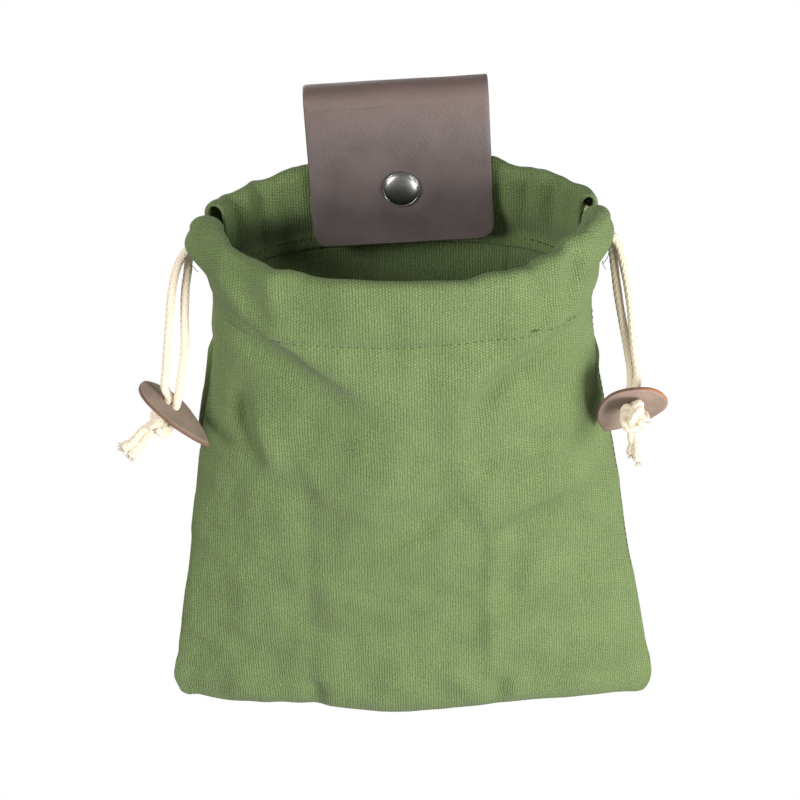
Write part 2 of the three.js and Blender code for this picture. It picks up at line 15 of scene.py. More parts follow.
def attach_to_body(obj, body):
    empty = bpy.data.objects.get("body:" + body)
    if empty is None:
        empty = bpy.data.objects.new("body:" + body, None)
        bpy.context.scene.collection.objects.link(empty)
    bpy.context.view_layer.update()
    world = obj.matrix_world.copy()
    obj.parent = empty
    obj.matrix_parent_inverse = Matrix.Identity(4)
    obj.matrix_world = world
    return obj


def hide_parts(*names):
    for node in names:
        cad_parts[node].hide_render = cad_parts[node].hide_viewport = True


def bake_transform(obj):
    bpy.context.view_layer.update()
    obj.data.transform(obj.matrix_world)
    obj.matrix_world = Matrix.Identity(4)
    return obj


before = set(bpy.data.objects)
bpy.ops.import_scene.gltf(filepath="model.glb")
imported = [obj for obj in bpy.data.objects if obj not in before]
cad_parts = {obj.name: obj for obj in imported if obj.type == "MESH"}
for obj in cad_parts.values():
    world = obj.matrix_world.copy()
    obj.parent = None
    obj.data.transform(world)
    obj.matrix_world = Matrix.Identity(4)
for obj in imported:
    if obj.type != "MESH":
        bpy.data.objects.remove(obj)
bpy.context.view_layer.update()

MM = 0.001
BAG_TO_ROW = np.array([0.0, 5.7, -299.0])

# Camera and stage
CAMERA_LENS = 100.0
CAMERA_TARGET = (-2.8, -36.8, 173.0)
CAMERA_ELEVATION = math.radians(28.0)
CAMERA_DISTANCE = 920.0
CAMERA_ROLL = math.radians(-1.5)

# Canvas
CLOTH = 0.9
HEM_LAYERS = 2.0
CASING_HEIGHT = 31.0
CASING_DEPTH = 8.0
HEM_GAP = 1.4
RIM_ROLL = 5.0
MOUTH_SAG = 10.6
MOUTH_RISE = 8.0
SEAM_OFFSET = 1.35
RIM_HEIGHT = 258.0
FRONT_RIM_HALF = 80.0
FRONT_RIM_Y = -33.0
FRONT_RIM_REACH = 47.5
BACK_RIM_HALF = 79.0
BACK_RIM_Y = -31.0
BACK_RIM_REACH = 30.7
MOUTH_MIDDLE_Y = -38.0
EAR_FLARE = 7.0
EAR_DROP = 0.65
CASING_BULGE = 1.3
ALLOWANCE_GAP = 0.1
# The bottom edge hangs higher on the left and lower on the right; the left corner is blunt.
LEFT_RISE = 1.6
RIGHT_DROP = 0.5
CORNER_RISE = 3.6
# The soft ridge down the lower middle of the front
BELLY_X = -4.0
BELLY_HEIGHT = 3.2
BELLY_REACH = 50.0
BELLY_CREST = 8.0
# How deep the hem's stitches pull the canvas in everywhere, and how much more where it shows
HEM_PULL_LEAST = 0.12
HEM_PULL_SHOWN = 0.6
# Ripples all over the canvas: height in mm, size in mm, seed
CANVAS_RIPPLES = [(0.55, 38, 3), (0.22, 15, 8), (0.06, 5, 21)]
# How strongly the folds are drawn on the bag's body, on its casing, and on the layer inside.
FOLD_GAIN = 1.8
CASING_FOLD_GAIN = 1.25
INNER_FADE = 0.3
# How much of a hollow is left where the leather plate presses the canvas flat.
UNDER_PLATE = 0.4
CANVAS_COLUMNS = 232
BODY_ROWS = 190
CASING_ROWS = 26
RIM_ROWS = 13
ALLOWANCE_ROWS = 5
BODY_LEVELS = np.array([
    # z, half width, seam Y, front bulge, back bulge
    (4, 103, -8, 0, 0),
    (5, 106, -8, 8, 3),
    (12, 109, -8, 15, 5.5),
    (36, 105.3, -10, 18.6, 8.3),
    (90, 96, -18, 23.4, 16.3),
    (140, 88.5, -25, 28, 23.3),
    (196, 78.5, -32, 33, 30.3),
    (225.6, 76.5, -33.5, 38.5, 31.8),
], float)

# Leather strap
LEATHER = 2.0
STRAP_HALF = 37.0
STRAP_ROLL = math.radians(-2.0)
PLATE_FRONT_Y = 0.3
PLATE_BOTTOM_Z = 150.0
PLATE_STITCH_INSET = 4.0
PLATE_STITCH_TOP_Z = 226.0
FOLD_RADIUS = 6.0
FOLD_Z = 293.0
FLAP_BOTTOM_Z = 233.5
FLAP_CORNER = 6.0
FLAP_REAR_Y = PLATE_FRONT_Y - 2 * FOLD_RADIUS
STRAP_EDGE = 0.7
SNAP_Z = 257.6
CAP_RADIUS = 7.5
CAP_RISE = 2.6
STUD_Y = -8.6

# Weave: how far apart the columns of thread and the beads along them are, in mm
COLUMN_PITCH = 1.15
BEAD_PITCH = 1.25

# Stitches: length, gap, thread radius and how deep the thread sinks, in mm
HEM_OUTER_STITCH = (2.4, 0.7, 0.22, 0.12)
HEM_INNER_STITCH = (2.4, 0.7, 0.25, 0.05)
SEAM_STITCH = (2.4, 0.8, 0.28, 0.1)
BOTTOM_STITCH = (2.4, 0.8, 0.32, 0.1)
PLATE_STITCH = (3.0, 0.8, 0.38, 0.1)

# Cords, discs and knots
CORD_RADIUS = 1.75
CORD_PITCH = 1.95
BRAID_LAY = 2.8
STRAND_STEP = 0.4
MIDDLE_CORD_DEPTH = 3.0
DISC_THICKNESS = 2.0
DISC_TIP = 23.0
DISC_ROUND_END = -15.0
DISC_HALF_WIDTH = 12.7
KNOT_SPREAD = 1.8
FIBRE_COUNT = 52
FIBRE_LENGTH = 3.4

# Colours, in linear light
# CANVAS_SHADE and CANVAS_TOP are painted shade and painted light: the weave's hollows darker, its
# thread tops lighter
CANVAS_SHADE = (0.108, 0.150, 0.056, 1)
CANVAS_TOP = (0.186, 0.252, 0.098, 1)
GREEN_THREAD = (0.07, 0.09, 0.035, 1)
BROWN_THREAD = (0.05, 0.036, 0.03, 1)
# COTTON_SHADE and COTTON_TOP are painted shade and painted light: the braid's grooves darker, its
# strand tops lighter
COTTON_SHADE = (0.74, 0.62, 0.46, 1)
COTTON_TOP = (0.88, 0.78, 0.62, 1)
COTTON_WARM = (0.82, 0.68, 0.49, 1)
NICKEL = ((0.34, 0.34, 0.33, 1), (0.5, 0.49, 0.48, 1))
RAW_BROWN = ((0.13, 0.075, 0.058, 1), (0.24, 0.12, 0.085, 1))
RAW_ORANGE = ((0.30, 0.10, 0.04, 1), (0.50, 0.2, 0.08, 1))
# dark and light tone of each leather, and the lighter tone of its worn flecks and its painted
# highlight
STRAP_TONES = ((0.092, 0.074, 0.071, 1), (0.140, 0.111, 0.105, 1), (0.150, 0.101, 0.089, 1))
DISC_TONES = ((0.26, 0.19, 0.15, 1), (0.4, 0.295, 0.235, 1), (0.5, 0.38, 0.31, 1))
# the row-frame heights between which a leather turns to the lighter tone, in metres: painted highlight
# towards the top
STRAP_PAINTED_HIGHLIGHT_HEIGHTS = (-0.024, 0.006)
DISC_PAINTED_HIGHLIGHT_HEIGHTS = (0.2, 0.3)

# Lights: name, place in metres, side of the square, power in watts
LIGHT_TARGET = (0.0, -0.04, -0.15)
LIGHTS = [
    ("key", (0.9, -0.88, -0.33), 0.6, 25),
    ("left_fill", (-0.85, -0.8, 0.4), 0.5, 12),
    ("high_side", (0.85, -0.35, 0.5), 0.3, 2.5),
    ("back_fill", (-0.5, 1.1, 0.3), 0.8, 11),
]
WALL_LIGHT = 0.22

# hole, normal and tip place a disc; cup is how far it is dished; seed and turn shape its knot.
TASSELS = {
    "left": {
        "side": -1,
        "seed": 11,
        "turn": 0.4,
        "cup": 0.9,
        "hole": (-97.4, -42, 175.8),
        "normal": (0.633, 0.051, 0.772),
        "tip": (0.707, -0.443, -0.551),
        "knot": (-101.6, -42.5, 169.3),
        "tails": [(-117.6, -44, 158.2), (-114.6, -44, 154.3)],
        "front": [
            (-77, -38.5, 243.6), (-77.9, -36.3, 243.9), (-80.2, -34.2, 244.2), (-84.8, -33.4, 243),
            (-88.3, -33.5, 239.4), (-90.8, -33.7, 235), (-92.7, -34.5, 229.2), (-94, -35.5, 223),
            (-95.3, -37, 213.5), (-96.5, -38.5, 204.3), (-98.1, -40, 191.6), (-99.1, -40.6, 183.8),
        ],
        "back": [
            (-73.2, -26.1, 245.2), (-74, -28.5, 245.4), (-75.8, -30.1, 245), (-79.2, -30.2, 244.3),
            (-83.4, -29.7, 242.3), (-86.1, -29.6, 237.4), (-87.3, -30.5, 230.6), (-88.5, -31.5, 224.2),
            (-89.4, -33.3, 214.5), (-89.9, -36, 202.4), (-90.6, -37.4, 195.8), (-92.2, -39.8, 188.4),
            (-93.6, -42.6, 181.2),
        ],
    },
    "right": {
        "side": 1,
        "seed": 12,
        "turn": 1.3,
        "cup": 1.3,
        "hole": (92, -51, 176.2),
        "normal": (0.038, 0.829, 0.558),
        "tip": (-0.454, 0.512, -0.73),
        "knot": (92.2, -59.2, 174.4),
        "tails": [(94, -59.5, 155), (91.4, -57, 156.8)],
        "front": [
            (77, -38.5, 243.3), (77.9, -36.3, 243.6), (80.2, -34.2, 244), (84.1, -33.4, 242.8),
            (86.6, -33.5, 239.1), (87.7, -34, 234.6), (89, -35.3, 229), (90.3, -36.5, 222.5),
            (91.4, -38, 215.3), (92.2, -40.2, 206), (93.1, -42.8, 196.8), (94.2, -46.2, 187.5),
        ],
        "back": [
            (73.2, -26.1, 244.8), (74, -28.5, 245), (75.8, -30.1, 244.7), (78.8, -30.2, 243.9),
            (82, -29.7, 242.2), (84, -29.8, 238.4), (85.1, -31.2, 230.3), (86.4, -33, 220),
            (87.8, -35.2, 210.9), (89.5, -37.6, 201.6), (91, -39.8, 192.9), (91.9, -43, 185.2),
        ],
    },
}

# Folds of the front canvas: a line of (x, z) places, the height in mm, the half width in mm, and
# how much steeper the side on the right of the line is than the side on its left.
FRONT_FOLDS = [
    # the two tension folds from the ears towards the middle, each with the trough below it
    ([(-79, 243), (-66, 228), (-48, 218), (-33, 206), (-10, 188)], 2.2, 7.0, 0.3),
    ([(-74, 228), (-60, 212), (-42, 198), (-20, 180)], -1.5, 8.0, 0.0),
    ([(80, 236), (68, 222), (52, 214), (36, 203), (20, 188)], 2.3, 7.5, -0.3),
    ([(66, 213), (50, 202), (34, 190), (24, 172)], -1.5, 6.5, 0.0),
    # gathers across the casing near the ears
    ([(-80, 250), (-66, 234), (-50, 217)], 2.2, 4.0, 0.0),
    ([(-66, 247), (-60, 230), (-52, 220)], -1.2, 4.2, 0.0),
    ([(-58, 249), (-50, 234), (-44, 222)], 1.3, 4.5, 0.0),
    ([(78, 252), (70, 236), (60, 220)], 2.1, 4.2, 0.0),
    ([(68, 252), (62, 242), (56, 232)], -1.0, 3.6, 0.0),
    ([(60, 252), (54, 240), (44, 224)], 1.6, 5.0, 0.0),
    ([(42, 240), (38, 224)], -1.3, 6.5, 0.0),
    ([(-24, 244), (-20, 226)], 0.9, 6.0, 0.0),
    ([(-6, 240), (-4, 222)], -0.9, 6.0, 0.0),
    ([(14, 226), (12, 205)], -0.8, 7.0, 0.0),
    # the dents at the left edge and the pillow beside them
    ([(-69, 185), (-67, 168), (-62, 155)], -2.3, 3.6, 0.0),
    ([(-62, 178), (-58, 160), (-52, 146)], 1.6, 7.0, 0.0),
    ([(-44, 160), (-39, 146), (-34, 134)], 1.0, 6.0, 0.2),
    # the broad swell left of the middle, and the narrower one just right of it
    ([(-6, 214), (-10, 180), (-14, 150), (-16, 112)], 2.6, 20.0, 0.0),
    ([(21, 208), (19, 184), (22, 156)], 1.7, 9.0, 0.0),
    # the star of creases right of the middle
    ([(44, 163), (60, 158)], -0.8, 4.0, 0.0),
    ([(23, 138), (31, 124), (35, 108), (34.5, 85), (34, 62), (35.5, 36), (35, 12)], 1.1, 5.5, 0.35),
    ([(43, 108), (42, 88), (40, 66)], -1.0, 7.0, 0.0),
    ([(35, 116), (47, 126), (62, 133), (76, 136)], 1.3, 6.5, 0.3),
    ([(40, 110), (52, 119), (66, 125)], -1.0, 6.0, 0.0),
    ([(28, 146), (36, 152)], -1.2, 3.5, 0.0),
    ([(-12, 100), (4, 110), (22, 122)], 1.3, 7.0, -0.3),
    ([(-6, 116), (10, 124), (20, 130)], -1.0, 6.5, 0.0),
    # the soft vertical crease left of the middle, and the dents where both meet the bottom
    ([(-43, 146), (-42, 122), (-44, 98), (-45, 60), (-46, 30), (-44, 8)], -0.6, 4.5, 0.0),
    ([(-45, 26), (-44, 4)], -1.8, 4.5, 0.0),
    ([(39, 26), (38, 4)], -2.0, 4.5, 0.0),
    ([(10, 40), (24, 22), (33, 8)], 0.8, 6.5, 0.0),
]

# Folds of the back canvas, seen from the front in the same (x, z) places.
BACK_FOLDS = [
    ([(-76, 240), (-64, 214), (-48, 178), (-42, 150)], 1.0, 5.0, 0.0),
    ([(-84, 224), (-72, 190), (-58, 150), (-50, 120)], -1.0, 6.0, 0.0),
    ([(76, 240), (64, 212), (50, 180), (43, 146)], 1.0, 5.0, 0.0),
    ([(82, 222), (70, 184), (60, 150)], -0.9, 6.0, 0.0),
    ([(-34, 148), (-20, 138), (0, 134), (22, 138), (36, 148)], -0.9, 5.0, 0.0),
    ([(-42, 140), (-44, 100), (-46, 50), (-44, 10)], 0.8, 5.0, 0.0),
    ([(38, 136), (36, 96), (38, 50), (36, 10)], 0.9, 4.5, 0.3),
    ([(-6, 120), (14, 96), (36, 70)], -0.7, 6.0, 0.0),
    ([(-72, 120), (-50, 96), (-30, 80)], 0.7, 6.0, 0.0),
]

# Gathers across a casing: the place x along the rim, how far the cloth moves out, half width.
FRONT_GATHERS = [(-72, 1.4, 3.0), (-62, -0.8, 3.2), (-52, 1.4, 3.6), (-41, -0.6, 4.0), (-26, 0.7, 6.0),
                 (-8, -0.4, 8.0), (18, 0.8, 6.0), (31, -0.7, 4.0), (42, 1.4, 4.0), (53, -0.8, 3.0),
                 (60, 2.3, 2.8), (66.5, -0.8, 2.4), (72, 1.8, 2.4)]
BACK_GATHERS = [(-78, -0.8, 2.2), (-73, 2.2, 2.0), (-67, -1.3, 2.8), (-61, 1.9, 2.0), (-54, -0.9, 3.5),
                (-46, 0.5, 4.0), (47, -0.6, 4.0), (53, 1.1, 2.6), (59.5, -1.1, 3.2), (66, 1.3, 2.6),
                (72, -0.9, 3.0)]

# Where a panel's side edge stands out or in: the side, the lower and upper z, and how far in mm.
FRONT_EDGES = [(-1, 30, 250, 0.6), (1, 70, 245, -1.1)]
BACK_EDGES = [(-1, 30, 250, 0.6), (-1, 148, 205, 2.2), (1, 70, 245, -0.6), (1, 180, 200, 1.2)]

# Where a rim runs higher or lower than its plain curve: the place x, the rise in mm, half width.
FRONT_RIM_RISES = [(26, -1.2, 6.0), (50, -1.6, 4.0), (64, -1.2, 3.0), (72, 0.8, 3.0),
                   (-22, 0.6, 8.0), (-46, 1.0, 5.0)]
BACK_RIM_RISES = [(-80, 1.6, 3.5), (-72, -1.6, 4.5), (-60, -1.6, 9.0), (-39, 0.9, 5.0), (38, 2.4, 5.0),
                  (51, -0.7, 5.0), (60, 0.8, 3.0), (66, -0.8, 4.0), (77, 1.2, 3.0)]

# The front rim hangs this much lower between the ears than the smooth CAD rim does, in mm.
FRONT_RIM_DROP = 3.6


# ---- frames and small geometry ----

def to_row(points):
    return (np.asarray(points, float) + BAG_TO_ROW) * MM


def unit(vectors):
    vectors = np.asarray(vectors, float)
    return vectors / np.maximum(np.linalg.norm(vectors, axis=-1, keepdims=True), 1e-9)


def smoothstep(value, low, high):
    share = np.clip((value - low) / (high - low), 0, 1)
    return share * share * (3 - 2 * share)


def spline(points, share):
    """Centripetal Catmull-Rom curve through points; share is an array from 0 to 1."""
    points = np.asarray(points, float)
    ends = np.vstack([2 * points[0] - points[1], points, 2 * points[-1] - points[-2]])
    place = np.clip(np.asarray(share, float), 0, 1) * (len(points) - 1)
    index = np.minimum(place.astype(int), len(points) - 2)
    t = (place - index)[..., None]
    p0, p1, p2, p3 = ends[index], ends[index + 1], ends[index + 2], ends[index + 3]
    d0, d1, d2 = (np.sqrt(np.linalg.norm(b - a, axis=-1, keepdims=True) + 1e-12)
                  for a, b in ((p0, p1), (p1, p2), (p2, p3)))
    m1 = ((p1 - p0) / d0 - (p2 - p0) / (d0 + d1) + (p2 - p1) / d1) * d1
    m2 = ((p2 - p1) / d1 - (p3 - p1) / (d1 + d2) + (p3 - p2) / d2) * d1
    return (p1 * (2 * t**3 - 3 * t**2 + 1) + m1 * (t**3 - 2 * t**2 + t)
            + p2 * (3 * t**2 - 2 * t**3) + m2 * (t**3 - t**2))


def distances(points):
    """How far along a path each of its points is."""
    steps = np.linalg.norm(np.diff(points, axis=0), axis=1)
    return np.concatenate([[0], np.cumsum(steps)])


def at_distance(points, along, wanted):
    """Values given at points, read off at the wanted distances along them."""
    return np.column_stack([np.interp(wanted, along, points[:, axis]) for axis in range(3)])


def even_spline(points, spacing):
    """The curve through points, resampled so that its points lie spacing apart."""
    fine = spline(points, np.linspace(0, 1, 60 * len(points)))
    along = distances(fine)
    wanted = np.linspace(0, along[-1], max(3, int(round(along[-1] / spacing)) + 1))
    return at_distance(fine, along, wanted)


def ripples(x, y, size, seed):
    """A smooth uneven field between about -1 and 1 whose waves are about size across."""
    dice = np.random.default_rng(seed)
    total = np.zeros(np.broadcast(x, y).shape)
    waves = 9
    for _ in range(waves):
        angle = dice.uniform(0, 2 * math.pi)
        length = size * dice.uniform(0.7, 1.6)
        phase = dice.uniform(0, 2 * math.pi)
        total += np.sin(2 * math.pi * (x * math.cos(angle) + y * math.sin(angle)) / length + phase)
    return total / math.sqrt(waves)


def grid_faces(rows, columns, closed=False):
    across = columns if closed else columns - 1
    row, column = np.meshgrid(np.arange(rows - 1), np.arange(across), indexing="ij")
    after = (column + 1) % columns
    corners = (row * columns + column, row * columns + after,
               (row + 1) * columns + after, (row + 1) * columns + column)
    return np.stack([corner.ravel() for corner in corners], axis=1)


def make_object(name, points, faces, material, uv=None, material_of_face=None):
    """A mesh object from bag coordinates. uv is one (u, v) pair per point, in millimetres."""
    mesh = bpy.data.meshes.new(name)
    mesh.from_pydata(to_row(points).tolist(), [], [list(map(int, face)) for face in faces])
    materials = material if isinstance(material, list) else [material]
    for one in materials:
        mesh.materials.append(one)
    mesh.polygons.foreach_set("use_smooth", [True] * len(mesh.polygons))
    if material_of_face is not None:
        mesh.polygons.foreach_set("material_index", np.asarray(material_of_face, np.int32))
    if uv is not None:
        layer = mesh.uv_layers.new(name="cloth")
        corners = np.empty(len(mesh.loops), np.int32)
        mesh.loops.foreach_get("vertex_index", corners)
        layer.data.foreach_set("uv", np.asarray(uv, np.float32)[corners].ravel())
    mesh.update()
    piece = bpy.data.objects.new(name, mesh)
    bpy.context.scene.collection.objects.link(piece)
    return piece


def attach(piece, body, slot, *nodes):
    """The piece moves with the body and stands for the CAD nodes, which it hides; slot is not used."""
    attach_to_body(piece, body)
    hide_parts(*nodes)


def tube_frames(points):
    """Two crosswise directions at each point of a path, carried along without twisting."""
    tangent = unit(np.gradient(points, axis=0))
    side = [unit(np.cross(tangent[0], (0.3, 0.9, 0.2)))]
    for direction in tangent[1:]:
        side.append(unit(side[-1] - direction * np.dot(side[-1], direction)))
    side = np.array(side)
    return side, np.cross(tangent, side)


def tube(points, radius, sides):
    """Vertices, faces and (around, along) pairs of a closed tube.

    radius is one number, one for each point, or a grid of one for each point and side.
    """
    side, other = tube_frames(points)
    angle = np.linspace(0, 2 * math.pi, sides, endpoint=False)
    radius = np.asarray(radius, float)
    if radius.ndim < 2:
        radius = radius.reshape(-1, 1)
    radius = np.broadcast_to(radius, (len(points), sides))
    spoke = (np.cos(angle)[None, :, None] * side[:, None]
             + np.sin(angle)[None, :, None] * other[:, None])
    vertices = (points[:, None] + radius[..., None] * spoke).reshape(-1, 3)
    faces = grid_faces(len(points), sides, closed=True).tolist()
    faces.append(list(range(sides))[::-1])
    faces.append(list(range((len(points) - 1) * sides, len(points) * sides)))
    uv = np.stack(np.broadcast_arrays(angle[None], distances(points)[:, None]), axis=-1)
    return vertices, faces, uv.reshape(-1, 2)


def merge(parts):
    """Several (vertices, faces, uv) in one."""
    vertices, faces, uvs, start = [], [], [], 0
    for points, part_faces, uv in parts:
        vertices.append(np.asarray(points))
        faces += [[int(corner) + start for corner in face] for face in part_faces]
        uvs.append(np.asarray(uv))
        start += len(points)
    return np.vstack(vertices), faces, np.vstack(uvs)


# ---- the canvas surface, as the CAD panels have it ----

def side_at(rise):
    return spline(BODY_LEVELS[:, [1, 2, 0]], rise)


def bulge_at(rise):
    return spline(BODY_LEVELS[:, [3, 4, 0]], rise)


def mouth_share(rise):
    return np.maximum(0, (rise - 0.45) / 0.55) ** 2


def back_fullness(turn, rise):
    across = np.minimum(1, np.abs(np.sin(turn)))
    return np.maximum(0, 1 - across ** (2 + rise)) ** (1 / (1 + 1.2 * rise))


def front_point(turn, rise):
    side, bulge = side_at(rise), bulge_at(rise)
    opening = np.maximum(0, np.cos(turn))
    fullness = opening ** (2 + rise * (0.95 - 2))
    return np.stack(np.broadcast_arrays(
        side[..., 0] * np.sin(turn),
        side[..., 1] - SEAM_OFFSET - bulge[..., 0] * fullness,
        side[..., 2] - MOUTH_SAG * mouth_share(rise) * opening), axis=-1)


def back_point(turn, rise):
    side, bulge = side_at(rise), bulge_at(rise)
    fullness = back_fullness(turn, rise)
    return np.stack(np.broadcast_arrays(
        side[..., 0] * np.sin(turn),
        side[..., 1] + SEAM_OFFSET + bulge[..., 1] * fullness,
        side[..., 2] + MOUTH_RISE * mouth_share(rise) * fullness**2), axis=-1)


def front_rim(turn):
    opening = np.maximum(0, np.cos(turn))
    return np.stack([FRONT_RIM_HALF * np.sin(turn), FRONT_RIM_Y - FRONT_RIM_REACH * opening**0.95,
                     RIM_HEIGHT - MOUTH_SAG * opening], axis=-1)


def back_rim(turn):
    fullness = back_fullness(turn, 1.0)
    return np.stack([BACK_RIM_HALF * np.sin(turn), BACK_RIM_Y + BACK_RIM_REACH * fullness,
                     RIM_HEIGHT + MOUTH_RISE * fullness**2], axis=-1)


# flares is how far the casing's left and right ends stand out, and cord_flare what the cords see.
FRONT = {
    "surface": front_point, "rim": front_rim, "last": math.radians(86.87), "to_seam": 1,
    "flares": (7.6, 5.0), "cord_flare": EAR_FLARE,
    "folds": FRONT_FOLDS, "gathers": FRONT_GATHERS, "edges": FRONT_EDGES, "rises": FRONT_RIM_RISES,
}
BACK = {
    "surface": back_point, "rim": back_rim, "last": math.radians(84.3), "to_seam": -1,
    "flares": (1.4, 0.6), "cord_flare": 0.0,
    "folds": BACK_FOLDS, "gathers": BACK_GATHERS, "edges": BACK_EDGES, "rises": BACK_RIM_RISES,
}


def ear_at(side, turn):
    """How much of the ear's width is reached at each turn: all of it at a casing's two ends."""
    return smoothstep(np.abs(turn), 0.75 * side["last"], side["last"])[..., None]


def ear_shape(drop):
    """How far an ear stands out at a drop from the rim (0) to the hem (1)."""
    return np.sin(math.pi * np.minimum(1, np.asarray(drop) / EAR_DROP))


def casing_frame(side, turn):
    """Rim point, direction down the casing, direction into the bag, and height, at each turn."""
    rim = side["rim"](turn)
    hem = side["surface"](turn, np.ones_like(turn)) + (0, 0, HEM_GAP)
    height = np.linalg.norm(hem - rim, axis=-1, keepdims=True)
    down = (hem - rim) / height
    step = 0.01
    along = unit(side["rim"](np.minimum(turn + step, side["last"]))
                 - side["rim"](np.maximum(turn - step, -side["last"])))
    inward = unit(np.cross(down, along))
    to_middle = (0, MOUTH_MIDDLE_Y, 0) - rim * (1, 1, 0)
    inward *= np.where(np.sum(inward * to_middle, axis=-1, keepdims=True) < 0, -1, 1)
    return rim, down, inward, height


def fold_height(x, z, line, height, width, steep):
    """One fold's height over the cloth: it fades at both ends of its line."""
    line = spline([(px, 0, pz) for px, pz in line], np.linspace(0, 1, 14))[:, [0, 2]]
    best = np.full(x.shape, 1e9)
    signed = np.zeros(x.shape)
    place = np.zeros(x.shape)
    for index in range(len(line) - 1):
        a, b = line[index], line[index + 1]
        d = b - a
        t = np.clip(((x - a[0]) * d[0] + (z - a[1]) * d[1]) / (d @ d), 0, 1)
        gap = np.hypot(x - a[0] - t * d[0], z - a[1] - t * d[1])
        nearer = gap < best
        best = np.where(nearer, gap, best)
        cross = (x - a[0]) * d[1] - (z - a[1]) * d[0]
        signed = np.where(nearer, np.sign(cross), signed)
        place = np.where(nearer, (index + t) / (len(line) - 1), place)
    fade = np.sin(math.pi * np.clip(place, 0.02, 0.98)) ** 0.6
    return height * fade * np.exp(-(best / (width * (1 - steep * signed))) ** 2)


def relief(side, x, z):
    """The height of the canvas's ripples and folds over its smooth surface."""
    total = sum(height * ripples(x, z, size, seed) for height, size, seed in CANVAS_RIPPLES)
    gain = FOLD_GAIN + (CASING_FOLD_GAIN - FOLD_GAIN) * smoothstep(z, 220, 232)
    for line, height, width, steep in side["folds"]:
        total = total + gain * fold_height(x, z, line, height, width, steep)
    return total


def bumps(places, x):
    total = np.zeros_like(x)
    for place, height, width in places:
        total = total + height * np.exp(-((x - place) / width) ** 2)
    return total


def rim_rise(side, x):
    """How much higher than its plain curve the rim runs at each x."""
    rise = bumps(side["rises"], x)
    if side is FRONT:
        between_ears = (1 - smoothstep(x, 50, 68)) * (1 - smoothstep(-x, 62, 80))
        rise = rise - FRONT_RIM_DROP * between_ears
    return rise


def casing_rows(side, turn):
    """Rows of the turned-over hem: up its outer face, round the rim, and down inside the bag."""
    rim, down, inward, height = casing_frame(side, turn)
    ear = ear_at(side, turn)
    flare = ear * np.where(turn < 0, *side["flares"])[:, None]
    swell = bumps(side["gathers"], rim[:, 0])[:, None]
    rise = rim_rise(side, rim[:, 0])[:, None] * (0, 0, 1)

    def row(drop, depth, looseness=1.0):
        """drop runs from 0 at the rim to 1 at the hem line; depth is into the bag."""
        bulge = swell * looseness * (0.25 + 0.75 * (1 - drop)) * (1 - ear)
        return rim + rise * (1 - drop) + down * drop * height + inward * (depth - bulge)

    roll = RIM_ROLL / CASING_HEIGHT
    half = CASING_DEPTH / 2
    rows = []
    for drop in np.linspace(1, roll, CASING_ROWS):
        below_roll = (drop - roll) / (1 - roll)
        full = math.sin(math.pi * below_roll**1.3) ** 0.8 if 0 < below_roll < 1 else 0.0
        rows.append(row(drop, -CASING_BULGE * full - flare * ear_shape(drop)))
    for angle in np.linspace(0, math.pi, RIM_ROWS + 2)[1:-1]:
        outward = flare * ear_shape(roll) * (0.5 + 0.5 * math.cos(angle)) ** 0.7
        rows.append(row(roll * (1 - math.sin(angle)), half - half * math.cos(angle) - outward))
    for drop in np.linspace(roll, 1, CASING_ROWS):
        into = ((drop - roll) / (1 - roll)) ** 2.2
        depth = HEM_LAYERS + (CASING_DEPTH - HEM_LAYERS) * (0.5 + 0.5 * math.cos(math.pi * into))
        rows.append(row(drop, depth, 1.0 - 0.3 * into))
    return np.array(rows)


def pressed(side, lift, x, z):
    """The back canvas can't rise where the leather plate lies on it."""
    if side is FRONT:
        return lift
    return np.where(under_plate(x, z), np.minimum(lift, 0) * UNDER_PLATE, lift)


def canvas_lift(side, points, share):
    """How far folds, the belly and the pull of the hem's stitches move each point outward."""
    x, z = points[..., 0], points[..., 2]
    row = np.arange(len(points))[:, None]
    hem_row = BODY_ROWS - 1
    outer_rows = BODY_ROWS + CASING_ROWS
    fade = np.ones(len(points))
    fade[outer_rows:] = INNER_FADE
    fade[BODY_ROWS:outer_rows] = np.linspace(1, INNER_FADE, CASING_ROWS)
    edge = smoothstep(1 - np.abs(share), 0.0, 0.05)
    low = smoothstep(z, 4, 14)
    lift = relief(side, x, z) * fade[:, None] * (0.15 + 0.85 * edge) * (0.35 + 0.65 * low)
    lift = pressed(side, lift, x, z)
    if side is FRONT:
        lift = lift + belly(x, z) * (row <= hem_row)
    near_hem = np.exp(-((row - hem_row) * 1.25 / 1.3) ** 2) * (row < outer_rows)
    return lift - hem_groove(x[hem_row]) * near_hem * edge


def canvas_sheet(name, side, material):
    """One canvas panel with its turned-over hem, from the bottom seam round the rim to the hem."""
    share = np.linspace(-1, 1, CANVAS_COLUMNS)
    rises = even_rises(side)
    body = [side["surface"](share * math.pi / 2, np.full_like(share, rise)) for rise in rises]
    turn = share * side["last"]
    into_bag = casing_frame(side, turn)[2] * (HEM_LAYERS + ALLOWANCE_GAP)
    allowance = [side["surface"](turn, np.full_like(turn, rise)) + into_bag
                 for rise in rises[::-1][:ALLOWANCE_ROWS]]
    points = hang(np.concatenate([body, casing_rows(side, turn), allowance]), side)

    outward = surface_normals(points, side["to_seam"])
    points = points + outward * canvas_lift(side, points, share)[..., None]
    points = roll_edges(points, side, BODY_ROWS - 1, outward)
    faces = grid_faces(*points.shape[:2])
    if side is BACK:
        faces = faces[:, ::-1]
    uv = cloth_uv(points, BODY_ROWS - 1)
    piece = make_object(name, points.reshape(-1, 3), faces, material, uv)
    thicken(piece, CLOTH)
    return piece


def even_rises(side):
    """Rise values whose rows lie evenly apart at the panel's middle and towards its side."""
    fine = np.linspace(0, 1, 1500)
    along = sum(distances(side["surface"](np.full_like(fine, turn), fine)) for turn in (0.0, 1.0))
    return np.interp(np.linspace(0, along[-1], BODY_ROWS), along, fine)


def under_plate(x, z):
    return (np.abs(x) < STRAP_HALF + 6) & (z > PLATE_BOTTOM_Z - 6)


